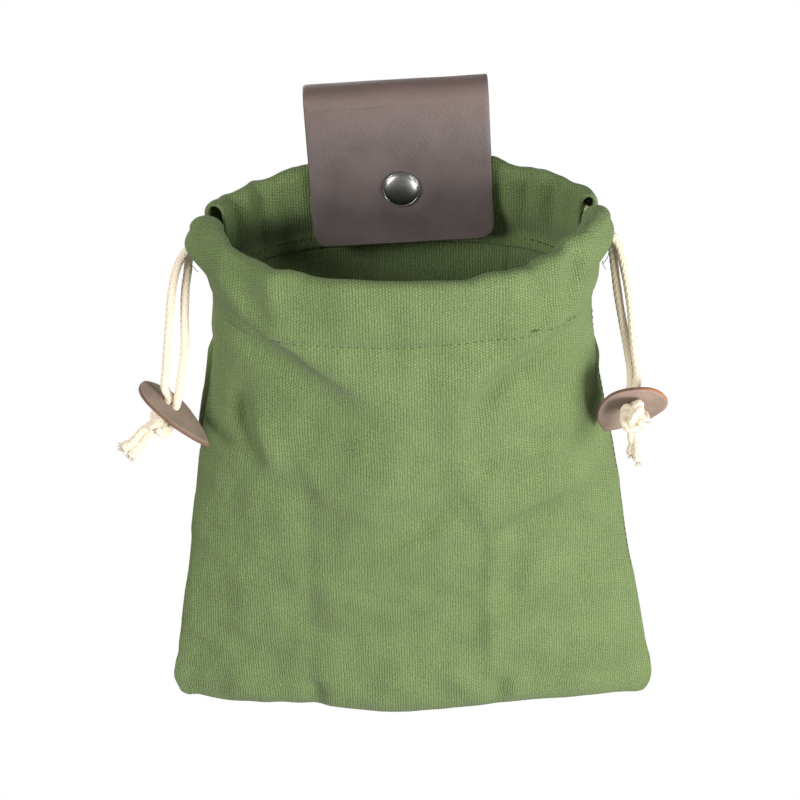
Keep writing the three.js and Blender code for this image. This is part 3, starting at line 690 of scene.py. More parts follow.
def belly(x, z):
    """The lower middle of the front hangs further forward than its two sides, in a soft ridge."""
    from_crest = np.hypot(x - BELLY_X, BELLY_CREST) - BELLY_CREST
    ridge = np.clip(1 - from_crest / BELLY_REACH, 0, 1) ** 1.2
    return BELLY_HEIGHT * ridge * smoothstep(-z, -60, -14)


def hang(points, side):
    """The bag's left half hangs a little higher, with a blunter corner, and its edges wander."""
    x, z = points[..., 0], points[..., 2]
    low = smoothstep(-z, -60, -10)
    corner = smoothstep(-x, 86, 110) * smoothstep(-z, -34, -8)
    moved = points.copy()
    tilt = LEFT_RISE * smoothstep(-x, 5, 60) - RIGHT_DROP * smoothstep(x, 10, 60)
    moved[..., 2] += tilt * low + CORNER_RISE * corner
    for sign, bottom, top, shift in side["edges"]:
        window = smoothstep(z, bottom, bottom + 10) * (1 - smoothstep(z, top - 10, top))
        moved[..., 0] += sign * shift * window * smoothstep(sign * x, 55, 78)
    return moved


def hem_groove(x):
    """How deep the hem's stitching pulls the canvas in: it shows best left of the middle."""
    shown = smoothstep(x, -52, -38) * (1 - smoothstep(x, 22, 36))
    return HEM_PULL_LEAST + HEM_PULL_SHOWN * shown


def surface_normals(points, to_seam):
    across = np.gradient(points, axis=1)
    up = np.gradient(points, axis=0)
    normal = unit(np.cross(across, up))
    return normal * to_seam


def roll_edges(points, side, hem_row, outward):
    """Adds the turned-in edges: the seam allowances at both sides and along the bottom.

    Each turn is how far it reaches past the edge and how deep it lies in the bag, in mm.
    """
    turns = [(0.45, 0.12), (0.85, 0.42), (1.12, 0.95), (1.2, 1.8), (1.22, 3.5), (1.22, 6.5)]
    is_body = (np.arange(len(points)) <= hem_row)[:, None]
    to_seam = np.array([0.0, side["to_seam"], 0.0])
    sides = []
    for end, inner, sign in ((0, 1, -1), (-1, -2, 1)):
        edge = points[:, end]
        beyond = unit(edge - points[:, inner])
        forward = np.where(is_body, to_seam, beyond)
        inside = np.where(is_body, np.array([-sign, 0, 0.0]), -outward[:, end])
        columns = []
        for reach, depth in turns:
            hem_reach = reach if depth < 1 else 1.2 - (depth - 0.95)
            past = np.where(is_body, reach, hem_reach)
            inward = np.where(is_body, depth, min(depth, 1.7))
            columns.append(edge + forward * past + inside * inward)
        sides.append(columns)
    left = np.stack(sides[0][::-1], axis=1)
    right = np.stack(sides[1], axis=1)
    wide = np.concatenate([left, points, right], axis=1)
    below = [wide[0] + to_seam * reach + np.array([0, 0, depth]) for reach, depth in turns]
    return np.concatenate([np.array(below[::-1]), wide])


def cloth_uv(points, hem_row):
    """u and v in millimetres along the cloth, from the middle column and the hem line."""
    rows, columns = points.shape[:2]
    across = np.zeros((rows, columns))
    across[:, 1:] = np.cumsum(np.linalg.norm(np.diff(points, axis=1), axis=2), axis=1)
    across -= across[:, columns // 2][:, None]
    along = np.zeros((rows, columns))
    along[1:] = np.cumsum(np.linalg.norm(np.diff(points, axis=0), axis=2), axis=0)
    along -= along[hem_row]
    return np.stack([across, along], axis=-1).reshape(-1, 2)


def thicken(piece, thickness):
    modifier = piece.modifiers.new("thickness", "SOLIDIFY")
    modifier.thickness = thickness * MM
    modifier.offset = -1
    bpy.context.view_layer.update()
    evaluated = piece.evaluated_get(bpy.context.evaluated_depsgraph_get())
    mesh = bpy.data.meshes.new_from_object(evaluated)
    piece.modifiers.clear()
    piece.data = mesh


# ---- threads ----

def stitch_row(points, normals, stitch, gap, radius, sunk):
    """Separate stitches along a path, arched, with their ends pulled into the cloth."""
    along = distances(points)
    arch = np.sin(np.linspace(0, math.pi, 7))
    parts = []
    start = gap
    while start + stitch < along[-1] - gap:
        places = np.linspace(start, start + stitch, 7)
        normal = unit(at_distance(normals, along, places))
        middle = at_distance(points, along, places)
        middle = middle + normal * (radius * (1.5 * arch - 0.9) - sunk)[:, None]
        parts.append(tube(middle, radius * (0.75 + 0.25 * arch), 7))
        start += stitch + gap
    return merge(parts)


def stitch_piece(name, rows, slot, node, material):
    vertices, faces, uv = merge(rows)
    attach(make_object(name, vertices, faces, material, uv), "bag", slot, node)


def hem_stitches(name, side, node, material):
    """The hem's stitches on the outer face of the canvas and on the turned-over layer inside."""
    turn = np.linspace(-0.985, 0.985, 400) * side["last"]
    line = side["surface"](turn, np.ones_like(turn))
    inward = casing_frame(side, turn)[2]
    x, z = line[:, 0], line[:, 2]
    lift = pressed(side, relief(side, x, z) - hem_groove(x), x, z)[:, None]
    line = hang(line, side)
    inner_face = HEM_LAYERS + ALLOWANCE_GAP - INNER_FADE * lift
    rows = [stitch_row(line - inward * lift, -inward, *HEM_OUTER_STITCH),
            stitch_row(line + inward * inner_face, inward, *HEM_INNER_STITCH)]
    stitch_piece(name, rows, "green_thread", node, material)


def seam_stitches(side_name, sign, material):
    place = side_at(np.linspace(0.3, 0.94, 120))
    points = np.column_stack([sign * (place[:, 0] - 0.9), place[:, 1], place[:, 2]])
    normals = np.tile([sign, 0, 0], (len(points), 1))
    stitch_piece(f"{side_name}_seam_stitches", [stitch_row(points, normals, *SEAM_STITCH)],
                 "green_thread", f"{side_name}_seam_stitching", material)


def bottom_stitches(material):
    x = np.linspace(-100, 100, 200)
    low, _, seam_y = BODY_LEVELS[0, :3]
    points = hang(np.column_stack([x, np.full_like(x, seam_y), np.full_like(x, low + 1.2)]), FRONT)
    normals = np.tile([0, 0, -1.0], (len(points), 1))
    stitch_piece("bottom_seam_stitches", [stitch_row(points, normals, *BOTTOM_STITCH)],
                 "green_thread", "bottom_seam_stitching", material)


def plate_stitches(material):
    half = STRAP_HALF - PLATE_STITCH_INSET
    low = PLATE_BOTTOM_Z + PLATE_STITCH_INSET
    thread_y = PLATE_FRONT_Y + LEATHER + 0.1
    corners = [(-half, low), (half, low), (half, PLATE_STITCH_TOP_Z), (-half, PLATE_STITCH_TOP_Z)]
    share = np.linspace(0, 1, 60)
    normals = np.tile([0, 1.0, 0], (60, 1))
    rows = []
    for (x0, z0), (x1, z1) in zip(corners, corners[1:] + corners[:1]):
        points = np.column_stack([x0 + (x1 - x0) * share, np.full(60, thread_y),
                                  z0 + (z1 - z0) * share])
        vertices, faces, uv = stitch_row(points, normals, *PLATE_STITCH)
        rows.append((roll_strap(vertices), faces, uv))
    stitch_piece("plate_stitches", rows, "brown_thread", "plate_stitching", material)


# ---- leather strap ----

def roll_strap(points):
    """Turns the strap's shapes about the snap, as it is sewn on a little askew."""
    points = np.asarray(points, float)
    x, z = points[..., 0], points[..., 2] - SNAP_Z
    turned = points.copy()
    turned[..., 0] = x * math.cos(STRAP_ROLL) + z * math.sin(STRAP_ROLL)
    turned[..., 2] = -x * math.sin(STRAP_ROLL) + z * math.cos(STRAP_ROLL) + SNAP_Z
    return turned


def strap_section():
    """The strap's cross-section: (across from -1 to 1, edge inset in mm, level from -1 to 1)."""
    flat = np.linspace(-1, 1, 44)
    face = [(across, 0.0, 1.0) for across in flat]
    bend = []
    for angle in np.linspace(0, math.pi, 9)[1:-1]:
        bend.append((1.0, STRAP_EDGE * math.sin(angle), math.cos(angle)))
    other = [(across, 0.0, -1.0) for across in flat[::-1]]
    return face + bend + other + [(-across, inset, -level) for across, inset, level in bend]


def strap_piece(name, path, out, half_widths, thickness, material):
    """Sweeps the section along (y, z) stations; out is each station's outward direction."""
    rows = []
    for (y, z), (out_y, out_z), half, thick in zip(path, out, half_widths, thickness):
        row = []
        for across, inset, level in strap_section():
            x = across * (half - STRAP_EDGE) + math.copysign(inset, across)
            reach = level * thick / 2
            row.append((x, y + out_y * reach, z + out_z * reach))
        rows.append(row)
    points = np.array(rows)
    x = points[..., 0]
    along = np.arange(len(path))[:, None] * 1.0
    direction = np.array([(0, out_y, out_z) for out_y, out_z in out])[:, None]
    points = points + direction * 0.1 * ripples(x, along, 26, 5)[..., None]
    from_snap = np.hypot(points[..., 0], points[..., 2] - SNAP_Z)
    in_front = points[..., 1] < FLAP_REAR_Y + LEATHER
    dent = 0.35 * np.exp(-((from_snap - CAP_RADIUS - 0.3) / 2.6) ** 2) * in_front
    points = points - direction * dent[..., None]
    faces = grid_faces(len(path), points.shape[1], closed=True).tolist()
    uv = np.stack(np.broadcast_arrays(x, along), axis=-1).reshape(-1, 2)
    return make_object(name, roll_strap(points.reshape(-1, 3)), faces, material, uv)


def belt_strap(material):
    """The strap in two pieces: the rear plate with its fold, and the flap that hangs from the fold."""
    radius = FOLD_RADIUS + LEATHER / 2
    centre = PLATE_FRONT_Y - FOLD_RADIUS
    ease = [0.02, 0.12, 0.3, 0.6]
    plate_z = [PLATE_BOTTOM_Z + step for step in ease]
    plate_z += list(np.linspace(PLATE_BOTTOM_Z + 1.5, FOLD_Z, 110))
    path = [(centre + radius, z) for z in plate_z]
    out = [(1.0, 0.0)] * len(path)
    for angle in np.linspace(0, math.pi, 46)[1:]:
        path.append((centre + radius * math.cos(angle), FOLD_Z + radius * math.sin(angle)))
        out.append((math.cos(angle), math.sin(angle)))
    thick = [LEATHER * share for share in (0.45, 0.75, 0.93)] + [LEATHER] * (len(path) - 3)
    loop = strap_piece("leather_loop", path, out, [STRAP_HALF] * len(path), thick, material)
    attach(loop, "bag", "strap_leather", "belt_loop")

    front = centre - radius
    corner = FLAP_CORNER * (1 - np.cos(np.linspace(0, math.pi / 2, 12)))
    steps = sorted(set(ease + list(corner[1:])))
    rise = np.array(steps + list(np.linspace(FLAP_CORNER + 1, FOLD_Z - FLAP_BOTTOM_Z, 66)))[::-1]
    above = np.clip(FLAP_CORNER - rise, 0, FLAP_CORNER)
    half = STRAP_HALF - FLAP_CORNER + np.sqrt(np.maximum(0, FLAP_CORNER**2 - above**2))
    thick = LEATHER * np.clip(0.4 + rise / 0.9, 0.4, 1)
    path = [(front, FLAP_BOTTOM_Z + step) for step in rise]
    flap = strap_piece("leather_flap", path, [(-1.0, 0.0)] * len(path), half, thick, material)
    flap.data.flip_normals()
    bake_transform(flap)
    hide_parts("belt_flap")


# ---- snap fastener ----

def turned_piece(name, profile, body, node, material):
    """A piece turned about the snap's axis from (radius, y) pairs."""
    segments = 72
    angle = np.linspace(0, 2 * math.pi, segments, endpoint=False)
    points = np.array([[(r * math.cos(a), y, SNAP_Z + r * math.sin(a)) for a in angle]
                       for r, y in profile])
    faces = grid_faces(len(profile), segments, closed=True).tolist()
    faces.append(list(range(segments)))
    faces.append(list(range((len(profile) - 1) * segments, len(profile) * segments))[::-1])
    piece = make_object(name, points.reshape(-1, 3), faces, material)
    fix_normals(piece)
    attach(piece, body, "gunmetal", node)


def fix_normals(piece):
    work = bmesh.new()
    work.from_mesh(piece.data)
    bmesh.ops.recalc_face_normals(work, faces=work.faces)
    work.to_mesh(piece.data)
    work.free()


def stepped(start_y, steps):
    """A profile from (radius, distance from start_y) pairs."""
    return [(radius, start_y + step) for radius, step in steps]


def snap(material):
    """The snap's four parts, from the domed cap in front to the rivet behind the plate."""
    front = FLAP_REAR_Y - LEATHER
    dome_lip = 0.75
    last = 0.86 * math.pi / 2
    dome = []
    for angle in np.linspace(0.02, 1.0, 22):
        share = math.sin(angle * last) / math.sin(last)
        height = (CAP_RISE - dome_lip) * math.sqrt(max(0, 1 - share**2.2))
        dome.append((share * (CAP_RADIUS - 0.55), front - dome_lip - height))
    rim = stepped(front, [
        (CAP_RADIUS - 0.42, -0.86), (CAP_RADIUS - 0.25, -0.98), (CAP_RADIUS - 0.06, -0.9),
        (CAP_RADIUS, -0.62), (CAP_RADIUS - 0.03, -0.32), (CAP_RADIUS - 0.3, -0.12),
        (CAP_RADIUS - 0.9, -0.06), (1.7, -0.06), (1.7, LEATHER + 0.4)])
    turned_piece("cap_of_snap", dome + rim, "flap", "snap_cap", material)
    turned_piece("socket_of_snap", stepped(FLAP_REAR_Y + 0.3, [
        (2.1, 0), (6.2, 0), (6.45, 0.15), (6.45, 0.5), (6.2, 0.7), (4.4, 0.8), (4.0, 1.0),
        (3.75, 1.7), (3.5, 2), (2.8, 2), (2.5, 1.7), (2.1, 0.8)]), "flap", "snap_socket", material)
    turned_piece("stud_of_snap", stepped(STUD_Y, [
        (0.05, -1.8), (1.2, -1.78), (1.6, -1.6), (1.85, -1.3), (1.6, -0.9), (1.7, -0.65),
        (5.1, -0.6), (5.4, -0.45), (5.45, -0.1), (5.2, 0)]), "bag", "snap_stud", material)
    turned_piece("post_of_snap", [(1.7, STUD_Y + 0.4)] + stepped(PLATE_FRONT_Y + LEATHER + 0.1, [
        (1.7, 0), (5.35, 0), (5.5, 0.2), (5.4, 0.6), (4.9, 0.95), (3.6, 1.15), (3.2, 1.0),
        (2.9, 0.85), (0.05, 0.8)]), "bag", "snap_post", material)


# ---- cords, discs and knots ----

def cord_tube(points, radius=CORD_RADIUS, sides=20, strands=6):
    """A braided cord: its skin rises in two families of crossing strands."""
    along = distances(points)[:, None]
    around = strands * np.linspace(0, 2 * math.pi, sides, endpoint=False)[None]
    lay = 2 * math.pi * along / BRAID_LAY
    over = np.where(np.cos(around) > 0, 1, 0.6)
    under = np.where(np.cos(around) > 0, 0.6, 1)
    braid = (np.maximum(np.cos(around + lay), 0) ** 0.8 * over
             + np.maximum(np.cos(around - lay), 0) ** 0.8 * under)
    skin = radius * (0.97 + 0.03 * braid) * (1 + 0.02 * ripples(along, 0 * braid, 9, 4))
    return tube(points, skin, sides)


def through_disc(tassel, slot, distance):
    """A place on a strand's way through the disc; distance is above the disc's middle."""
    hole, tip, normal = (np.array(tassel[key], float) for key in ("hole", "tip", "normal"))
    return hole + unit(tip) * slot * CORD_PITCH + unit(normal) * distance


def strand_route(tassel, key, slot):
    points = list(tassel[key])
    points += [through_disc(tassel, slot, 2), through_disc(tassel, slot, 0),
               through_disc(tassel, slot, -DISC_THICKNESS / 2 - 0.1)]
    return even_spline(points, STRAND_STEP)


def strands(side_name, material, knot, disc):
    """The two free strands of a drawstring, from inside the casings to the disc."""
    tassel = TASSELS[side_name]
    for key, slot in (("front", -1), ("back", 1)):
        path = strand_route(tassel, key, slot)
        vertices, faces, uv = cord_tube(path, sides=24)
        piece = make_object(f"{side_name}_cord_{key}", vertices, faces, material, uv)
        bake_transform(piece)
        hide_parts(f"{side_name}_strand_{key}")


def drawstring_run(side_name, start_side, level, rise, material):
    """The cord inside both casings: level is its height over their middle, rise the extra
    height it gains towards the side that it comes out of."""
    reach = 0.965 * np.linspace(1, -1, 15)
    points = []
    for side, sign in ((FRONT, start_side), (BACK, -start_side)):
        across = sign * reach
        turn = across * side["last"]
        rim, down, inward, _ = casing_frame(side, turn)
        climb = (level + rise * np.maximum(0, across) ** 2)[:, None]
        drop = 0.5 - climb / CASING_HEIGHT
        bent = side["cord_flare"] * ear_at(side, turn) * ear_shape(drop)
        end_depth = (CASING_DEPTH - bent) / 2
        near_end = smoothstep(np.abs(across), 0.78, 0.94)[:, None]
        depth = MIDDLE_CORD_DEPTH + (end_depth - MIDDLE_CORD_DEPTH) * near_end
        points.append(rim + down * drop * CASING_HEIGHT + inward * depth)
    path = even_spline(np.vstack(points), 0.9)
    vertices, faces, uv = cord_tube(path, CORD_RADIUS - 0.05, 16)
    piece = make_object(f"{side_name}_cord_in_hem", vertices, faces, material, uv)
    attach(piece, "bag", "cotton_cord", f"{side_name}_drawstring_run")


def bezier(p0, p1, p2, p3, count):
    t = np.linspace(0, 1, count, endpoint=False)[:, None]
    return ((1 - t)**3 * np.array(p0) + 3 * (1 - t)**2 * t * np.array(p1)
            + 3 * (1 - t) * t**2 * np.array(p2) + t**3 * np.array(p3))


def disc_outline():
    """The teardrop, in (towards the tip, across) from the middle of the hole."""
    half, tip, end = DISC_HALF_WIDTH, DISC_TIP, DISC_ROUND_END
    return np.vstack([
        bezier((tip, 0), (16, 9), (7, half), (-2, half), 30),
        bezier((-2, half), (-10, half), (end, 7), (end, 0), 18),
        bezier((end, 0), (end, -7), (-10, -half), (-2, -half), 18),
        bezier((-2, -half), (7, -half), (16, -9), (tip, 0), 30)])


def disc_hole(outline):
    """One point of the oblong hole's edge for each point of the outline."""
    radius = CORD_RADIUS + 0.4
    reach = []
    for angle in np.arctan2(outline[:, 1], outline[:, 0]):
        x, y = math.cos(angle), math.sin(angle)
        distance = radius / max(abs(y), 1e-6)
        if abs(distance * x) > CORD_PITCH:
            middle = CORD_PITCH * abs(x)
            distance = middle + math.sqrt(max(0, middle**2 - CORD_PITCH**2 + radius**2))
        reach.append((distance * x, distance * y))
    return np.array(reach)


def disc_section():
    """The disc's section as (share of the way from hole to outline, level in mm), face to face."""
    half = DISC_THICKNESS / 2 - 0.1
    shares = np.linspace(0.04, 0.96, 11)
    face = [(0.0, 0.85 * half)] + [(share, half) for share in shares]
    face += [(0.985, 0.7 * half), (1.0, 0.7 * half)]
    edge = [(1.012, 0.25), (1.012, -0.25)]
    return face + edge + [(share, -level) for share, level in face[::-1]], len(face)


def leather_disc(side_name, cup, material, edge_material):
    """A teardrop of leather, a little dished, with raw edges."""
    tassel = TASSELS[side_name]
    outline = disc_outline()
    hole = disc_hole(outline)
    section, face_rows = disc_section()
    rings = []
    for share, level in section:
        flat = hole + (outline - hole) * share
        x, y = flat[:, 0], flat[:, 1]
        dish = cup * ((x / 20) ** 2 * 1.1 + (y / 13) ** 2) + 0.25 * ripples(x, y, 17, 12)
        rings.append(np.column_stack([x, y, level - dish]))
    local = np.array(rings)
    tip, normal = unit(np.array(tassel["tip"])), unit(np.array(tassel["normal"]))
    tip = unit(tip - normal * np.dot(tip, normal))
    across = np.cross(normal, tip)
    placed = (np.array(tassel["hole"], float) + local[..., :1] * tip + local[..., 1:2] * across
              + local[..., 2:] * normal)
    rows, columns = placed.shape[:2]
    faces = grid_faces(rows + 1, columns, closed=True) % (rows * columns)
    raw = [face_rows - 2 <= row <= face_rows + 2 for row in range(rows)]
    piece = make_object(f"{side_name}_leather_disc", placed.reshape(-1, 3), faces.tolist(),
                        [material, edge_material], local[..., :2].reshape(-1, 2),
                        np.repeat(raw, columns))
    fix_normals(piece)
    attach(piece, f"{side_name}_cord_stop", "disc_leather", f"{side_name}_disc")
    return piece


def fibres(end, direction, dice):
    """Loose fibres that spread from a tail's end."""
    parts = []
    direction = unit(direction)
    side = unit(np.cross(direction, (0.2, 0.4, 0.9)))
    other = np.cross(direction, side)
    for _ in range(FIBRE_COUNT):
        angle = dice.uniform(0, 2 * math.pi)
        reach = dice.uniform(0.1, 1.4)
        out = math.cos(angle) * side + math.sin(angle) * other
        start = end + out * reach - direction * 1.2
        long = FIBRE_LENGTH * dice.uniform(0.5, 1.15)
        splay = dice.uniform(0.0, 0.45)
        bend = dice.normal(0, 0.35, 3)
        t = np.linspace(0, 1, 7)[:, None]
        points = start + long * (direction * t + out * splay * t**1.6 + bend * t * t * 0.25)
        radius = dice.uniform(0.2, 0.36) * np.linspace(1, 0.4, 7)
        parts.append(tube(points, radius, 5))
    return parts


def knot_loop(centre, tip, across, normal, turn, scale, lift):
    """One strand's trefoil round the knot's centre."""
    angle = np.linspace(0, 2 * math.pi, 160, endpoint=False)
    a = angle + turn
    x = scale * KNOT_SPREAD * (np.sin(a) + 1.75 * np.sin(2 * a))
    y = scale * KNOT_SPREAD * (np.cos(a) - 1.75 * np.cos(2 * a))
    z = lift - 2.6 * np.sin(3 * a)
    line = centre + x[:, None] * tip + y[:, None] * across + z[:, None] * normal
    return cord_tube(np.vstack([line, line[:3]]), strands=5)


def knot_tail(centre, end, dice):
    """A tail from the knot to its frayed end, a little wider where it frays."""
    bend = dice.normal(0, 0.8, 3)
    start = centre + (end - centre) * 0.12
    path = even_spline([start, start * 0.6 + end * 0.4 + bend,
                        start * 0.25 + end * 0.75 - bend * 0.4, end], 0.5)
    flare = 1 + 0.35 * smoothstep(np.linspace(0, 1, len(path)), 0.6, 1.0)
    vertices, faces, uv = cord_tube(path)
    axis = path[:, None]
    wider = axis + (vertices.reshape(len(path), -1, 3) - axis) * flare[:, None, None]
    return [(wider.reshape(-1, 3), faces, uv)] + fibres(end, end - path[-6], dice)


def knot_of_cord(side_name, seed, turn, material):
    """An overhand knot of the two strands, with its frayed tails."""
    tassel = TASSELS[side_name]
    dice = np.random.default_rng(seed)
    normal, tip = unit(np.array(tassel["normal"])), unit(np.array(tassel["tip"]))
    across = np.cross(normal, tip)
    centre = np.array(tassel["knot"], float)
    parts = [knot_loop(centre, tip, across, normal, turn, scale, lift)
             for scale, lift in ((1.0, -1.2), (0.94, 1.6))]
    for end in tassel["tails"]:
        parts += knot_tail(centre, np.array(end, float), dice)
    for strand in (-1, 1):
        top = through_disc(tassel, strand, -DISC_THICKNESS / 2 - 0.4)
        path = even_spline([top, top - normal * 1.6, centre * 0.75 + top * 0.25, centre], 0.5)
        parts.append(cord_tube(path))
    vertices, faces, uv = merge(parts)
    piece = make_object(f"{side_name}_tied_knot", vertices, faces, material, uv)
    attach(piece, f"{side_name}_pull", "cotton_cord", f"{side_name}_knot")
    return piece


def stray_threads(material):
    """Loose dark-green threads at the two ears, left from the hem's stitching."""
    lines = [
        [(80.8, -42, 243), (81.8, -41.5, 240), (81.2, -41.5, 237), (79.6, -42, 235)],
        [(79.2, -42.5, 236.5), (79.6, -43, 234.5), (80.6, -43.2, 233)],
        [(-84.2, -43, 239.4), (-82.9, -43.4, 238), (-81.8, -43.6, 236.6)],
    ]
    parts = [tube(even_spline(line, 0.5), 0.14, 6) for line in lines]
    vertices, faces, uv = merge(parts)
    piece = make_object("stray_threads", vertices, faces, material, uv)
    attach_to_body(piece, "bag")


# ---- materials ----

class Shader:
    """Short calls for building one material's node tree."""

    def __init__(self, name, roughness, **constants):
        self.material = bpy.data.materials.new(name)
        self.material.use_nodes = True
        self.nodes = self.material.node_tree.nodes
        self.links = self.material.node_tree.links
        self.surface = self.nodes["Principled BSDF"]
        self.surface.inputs["Roughness"].default_value = roughness
        for key, value in constants.items():
            self.surface.inputs[key.replace("_", " ")].default_value = value

    def add(self, kind, **inputs):
        """A new node with its inputs linked, where they are sockets, or set."""
        node = self.nodes.new(kind)
        for key, value in inputs.items():
            self.set(node.inputs[key.replace("_", " ")], value)
        return node

    def set(self, socket, value):
        if isinstance(value, bpy.types.NodeSocket):
            self.links.new(value, socket)
        else:
            socket.default_value = value

    def math(self, operation, first, second=0.0):
        node = self.nodes.new("ShaderNodeMath")
        node.operation = operation
        self.set(node.inputs[0], first)
        self.set(node.inputs[1], second)
        return node.outputs[0]

    def place(self):
        return self.add("ShaderNodeTexCoord").outputs["Object"]

    def split(self, vector):
        return self.add("ShaderNodeSeparateXYZ", Vector=vector).outputs

    def cloth_place(self):
        node = self.add("ShaderNodeUVMap")
        node.uv_map = "cloth"
        u, v, _ = self.split(node.outputs[0])
        return node.outputs[0], u, v

    def stretched(self, vector, scale):
        return self.add("ShaderNodeMapping", Vector=vector, Scale=scale).outputs[0]

    def noise(self, vector, scale, detail=3.0, roughness=0.55):
        return self.add("ShaderNodeTexNoise", Vector=vector, Scale=scale, Detail=detail,
                        Roughness=roughness).outputs["Fac"]

    def cells(self, vector, scale):
        node = self.add("ShaderNodeTexVoronoi")
        node.feature = "DISTANCE_TO_EDGE"
        self.set(node.inputs["Vector"], vector)
        self.set(node.inputs["Scale"], scale)
        return node.outputs["Distance"]

    def fit(self, value, low, high, to_low=0.0, to_high=1.0):
        return self.add("ShaderNodeMapRange", Value=value, From_Min=low, From_Max=high,
                        To_Min=to_low, To_Max=to_high).outputs[0]

    def mix(self, share, first, second, blend="MIX"):
        node = self.nodes.new("ShaderNodeMix")
        node.data_type = "RGBA"
        node.blend_type = blend
        factor, first_colour, second_colour = (node.inputs[index] for index in (0, 6, 7))
        self.set(factor, share)
        self.set(first_colour, first)
        self.set(second_colour, second)
        return node.outputs[2]

    def bump(self, height, distance, strength=1.0, below=None):
        node = self.add("ShaderNodeBump", Height=height, Distance=distance, Strength=strength)
        if below is not None:
            self.set(node.inputs["Normal"], below)
        return node.outputs[0]

    def finish(self, colour, normal, roughness=None):
        self.set(self.surface.inputs["Base Color"], colour)
        self.set(self.surface.inputs["Normal"], normal)
        if roughness is not None:
            self.set(self.surface.inputs["Roughness"], roughness)
        return self.material


def canvas_material():
    """Coarse plain-weave canvas: beads of thread in offset columns, with slubs and a mottled dye."""
    shader = Shader("cotton_canvas", 0.95, Sheen_Weight=0.08, Sheen_Roughness=0.5,
                    Specular_IOR_Level=0.2)
    vector, u, v = shader.cloth_place()
    drift = shader.noise(shader.stretched(vector, (0.4, 0.1, 1)), 1.0, 2)
    place = shader.math("ADD", u, shader.fit(drift, 0, 1, -0.6, 0.6))
    place = shader.math("DIVIDE", place, COLUMN_PITCH)
    column = shader.math("FLOOR", place)
    rib = shader.math("SINE", shader.math("MULTIPLY", shader.math("FRACT", place), math.pi))
    shift = shader.math("MULTIPLY", column, 0.5)
    sway = shader.noise(shader.stretched(vector, (0.1, 0.3, 1)), 1.0, 2)
    step = shader.math("ADD", v, shader.fit(sway, 0, 1, -0.8, 0.8))
    step = shader.math("ADD", shader.math("DIVIDE", step, BEAD_PITCH), shift)
    bead = shader.math("ABSOLUTE", shader.math("SINE", shader.math("MULTIPLY", step, math.pi)))
    bead = shader.math("ADD", shader.math("MULTIPLY", bead, 0.75), 0.25)
    weave = shader.math("MULTIPLY", shader.math("POWER", rib, 0.7), bead)
    grain = shader.noise(vector, 0.9, 4, 0.7)
    slubs = shader.noise(shader.stretched(vector, (1.0, 0.3, 1)), 0.7, 3)
    uneven = shader.math("MULTIPLY", shader.math("ADD", grain, slubs), 0.7)
    # painted shade and light: darker in the weave's hollows, lighter on the thread tops, following the
    # bump's height
    colour = shader.mix(shader.fit(weave, 0.1, 0.95), CANVAS_SHADE, CANVAS_TOP)
    patches = shader.fit(shader.noise(vector, 0.05, 4, 0.6), 0.3, 0.7, 0.92, 1.08)
    fuzz = shader.fit(grain, 0.3, 0.7, 0.78, 1.2)
    colour = shader.mix(1.0, colour, shader.math("MULTIPLY", patches, fuzz), "MULTIPLY")
    return shader.finish(colour, shader.bump(shader.math("ADD", weave, uneven), 0.0003, 0.9))


def thread_material(name, colour):
    """Twisted sewing thread."""
    shader = Shader(name, 0.85)
    _, around, along = shader.cloth_place()
    twist = shader.math("ADD", shader.math("MULTIPLY", along, 8.0),
                        shader.math("MULTIPLY", around, 2.0))
    ply = shader.math("SINE", twist)
    # painted shade and light: the twist's grooves darker and its plies lighter, following the bump
    tone = shader.fit(ply, -1, 1, 0.75, 1.15)
    return shader.finish(shader.mix(1.0, colour, tone, "MULTIPLY"), shader.bump(ply, 0.0001, 0.6))


def leather_material(name, tones, highlight_heights):
    """Pulled-up leather: fine pores, soft creases, worn lighter flecks, and a painted highlight
    towards the top.
    """
    shader = Shader(name, 0.5, Specular_IOR_Level=0.45)
    dark, light, wear_and_highlight_tone = tones
    place = shader.place()
    pores = shader.cells(place, 1500)
    creases = shader.cells(place, 420)
    cloud = shader.noise(place, 45, 5, 0.62)
    grain = shader.noise(place, 1900, 3, 0.7)
    colour = shader.mix(shader.fit(cloud, 0.3, 0.72), dark, light)
    uneven = shader.fit(shader.noise(place, 70, 4, 0.65), 0, 1, -0.012, 0.012)
    level = shader.math("ADD", shader.split(place)[2], uneven)
    # painted highlight: the leather turns lighter towards the top, over the strap's upper flap and
    # fold
    colour = shader.mix(shader.fit(level, *highlight_heights), colour, wear_and_highlight_tone)
    # worn flecks in the same lighter tone, scattered by the grain
    colour = shader.mix(shader.fit(grain, 0.56, 0.78, 0.0, 0.4), colour, wear_and_highlight_tone)
    bump = shader.bump(shader.fit(creases, 0, 0.25), 0.00008, 0.5)
    fine = shader.math("ADD", shader.fit(pores, 0, 0.3), grain)
    bump = shader.bump(fine, 0.00006, 0.7, bump)
    rough = shader.fit(shader.math("ADD", cloud, grain), 0.6, 1.4, 0.42, 0.62)
    return shader.finish(colour, bump, rough)


def raw_edge_material():
    """Cut leather: brown, and orange at the right disc's outer side."""
    shader = Shader("raw_leather_edge", 0.9)
    place = shader.place()
    layers = shader.noise(place, 900, 4, 0.7)
    share = shader.fit(layers, 0.3, 0.7)
    brown = shader.mix(share, *RAW_BROWN)
    orange = shader.mix(share, *RAW_ORANGE)
    colour = shader.mix(shader.fit(shader.split(place)[0], 0.092, 0.1), brown, orange)
    return shader.finish(colour, shader.bump(layers, 0.0002, 0.8))


def metal_material():
    shader = Shader("black_nickel", 0.16, Metallic=1.0)
    place = shader.place()
    cloud = shader.noise(place, 700, 3)
    rough = shader.fit(shader.noise(place, 2400, 4, 0.7), 0.35, 0.75, 0.26, 0.4)
    return shader.finish(shader.mix(cloud, *NICKEL), shader.bump(cloud, 0.00002, 0.4), rough)


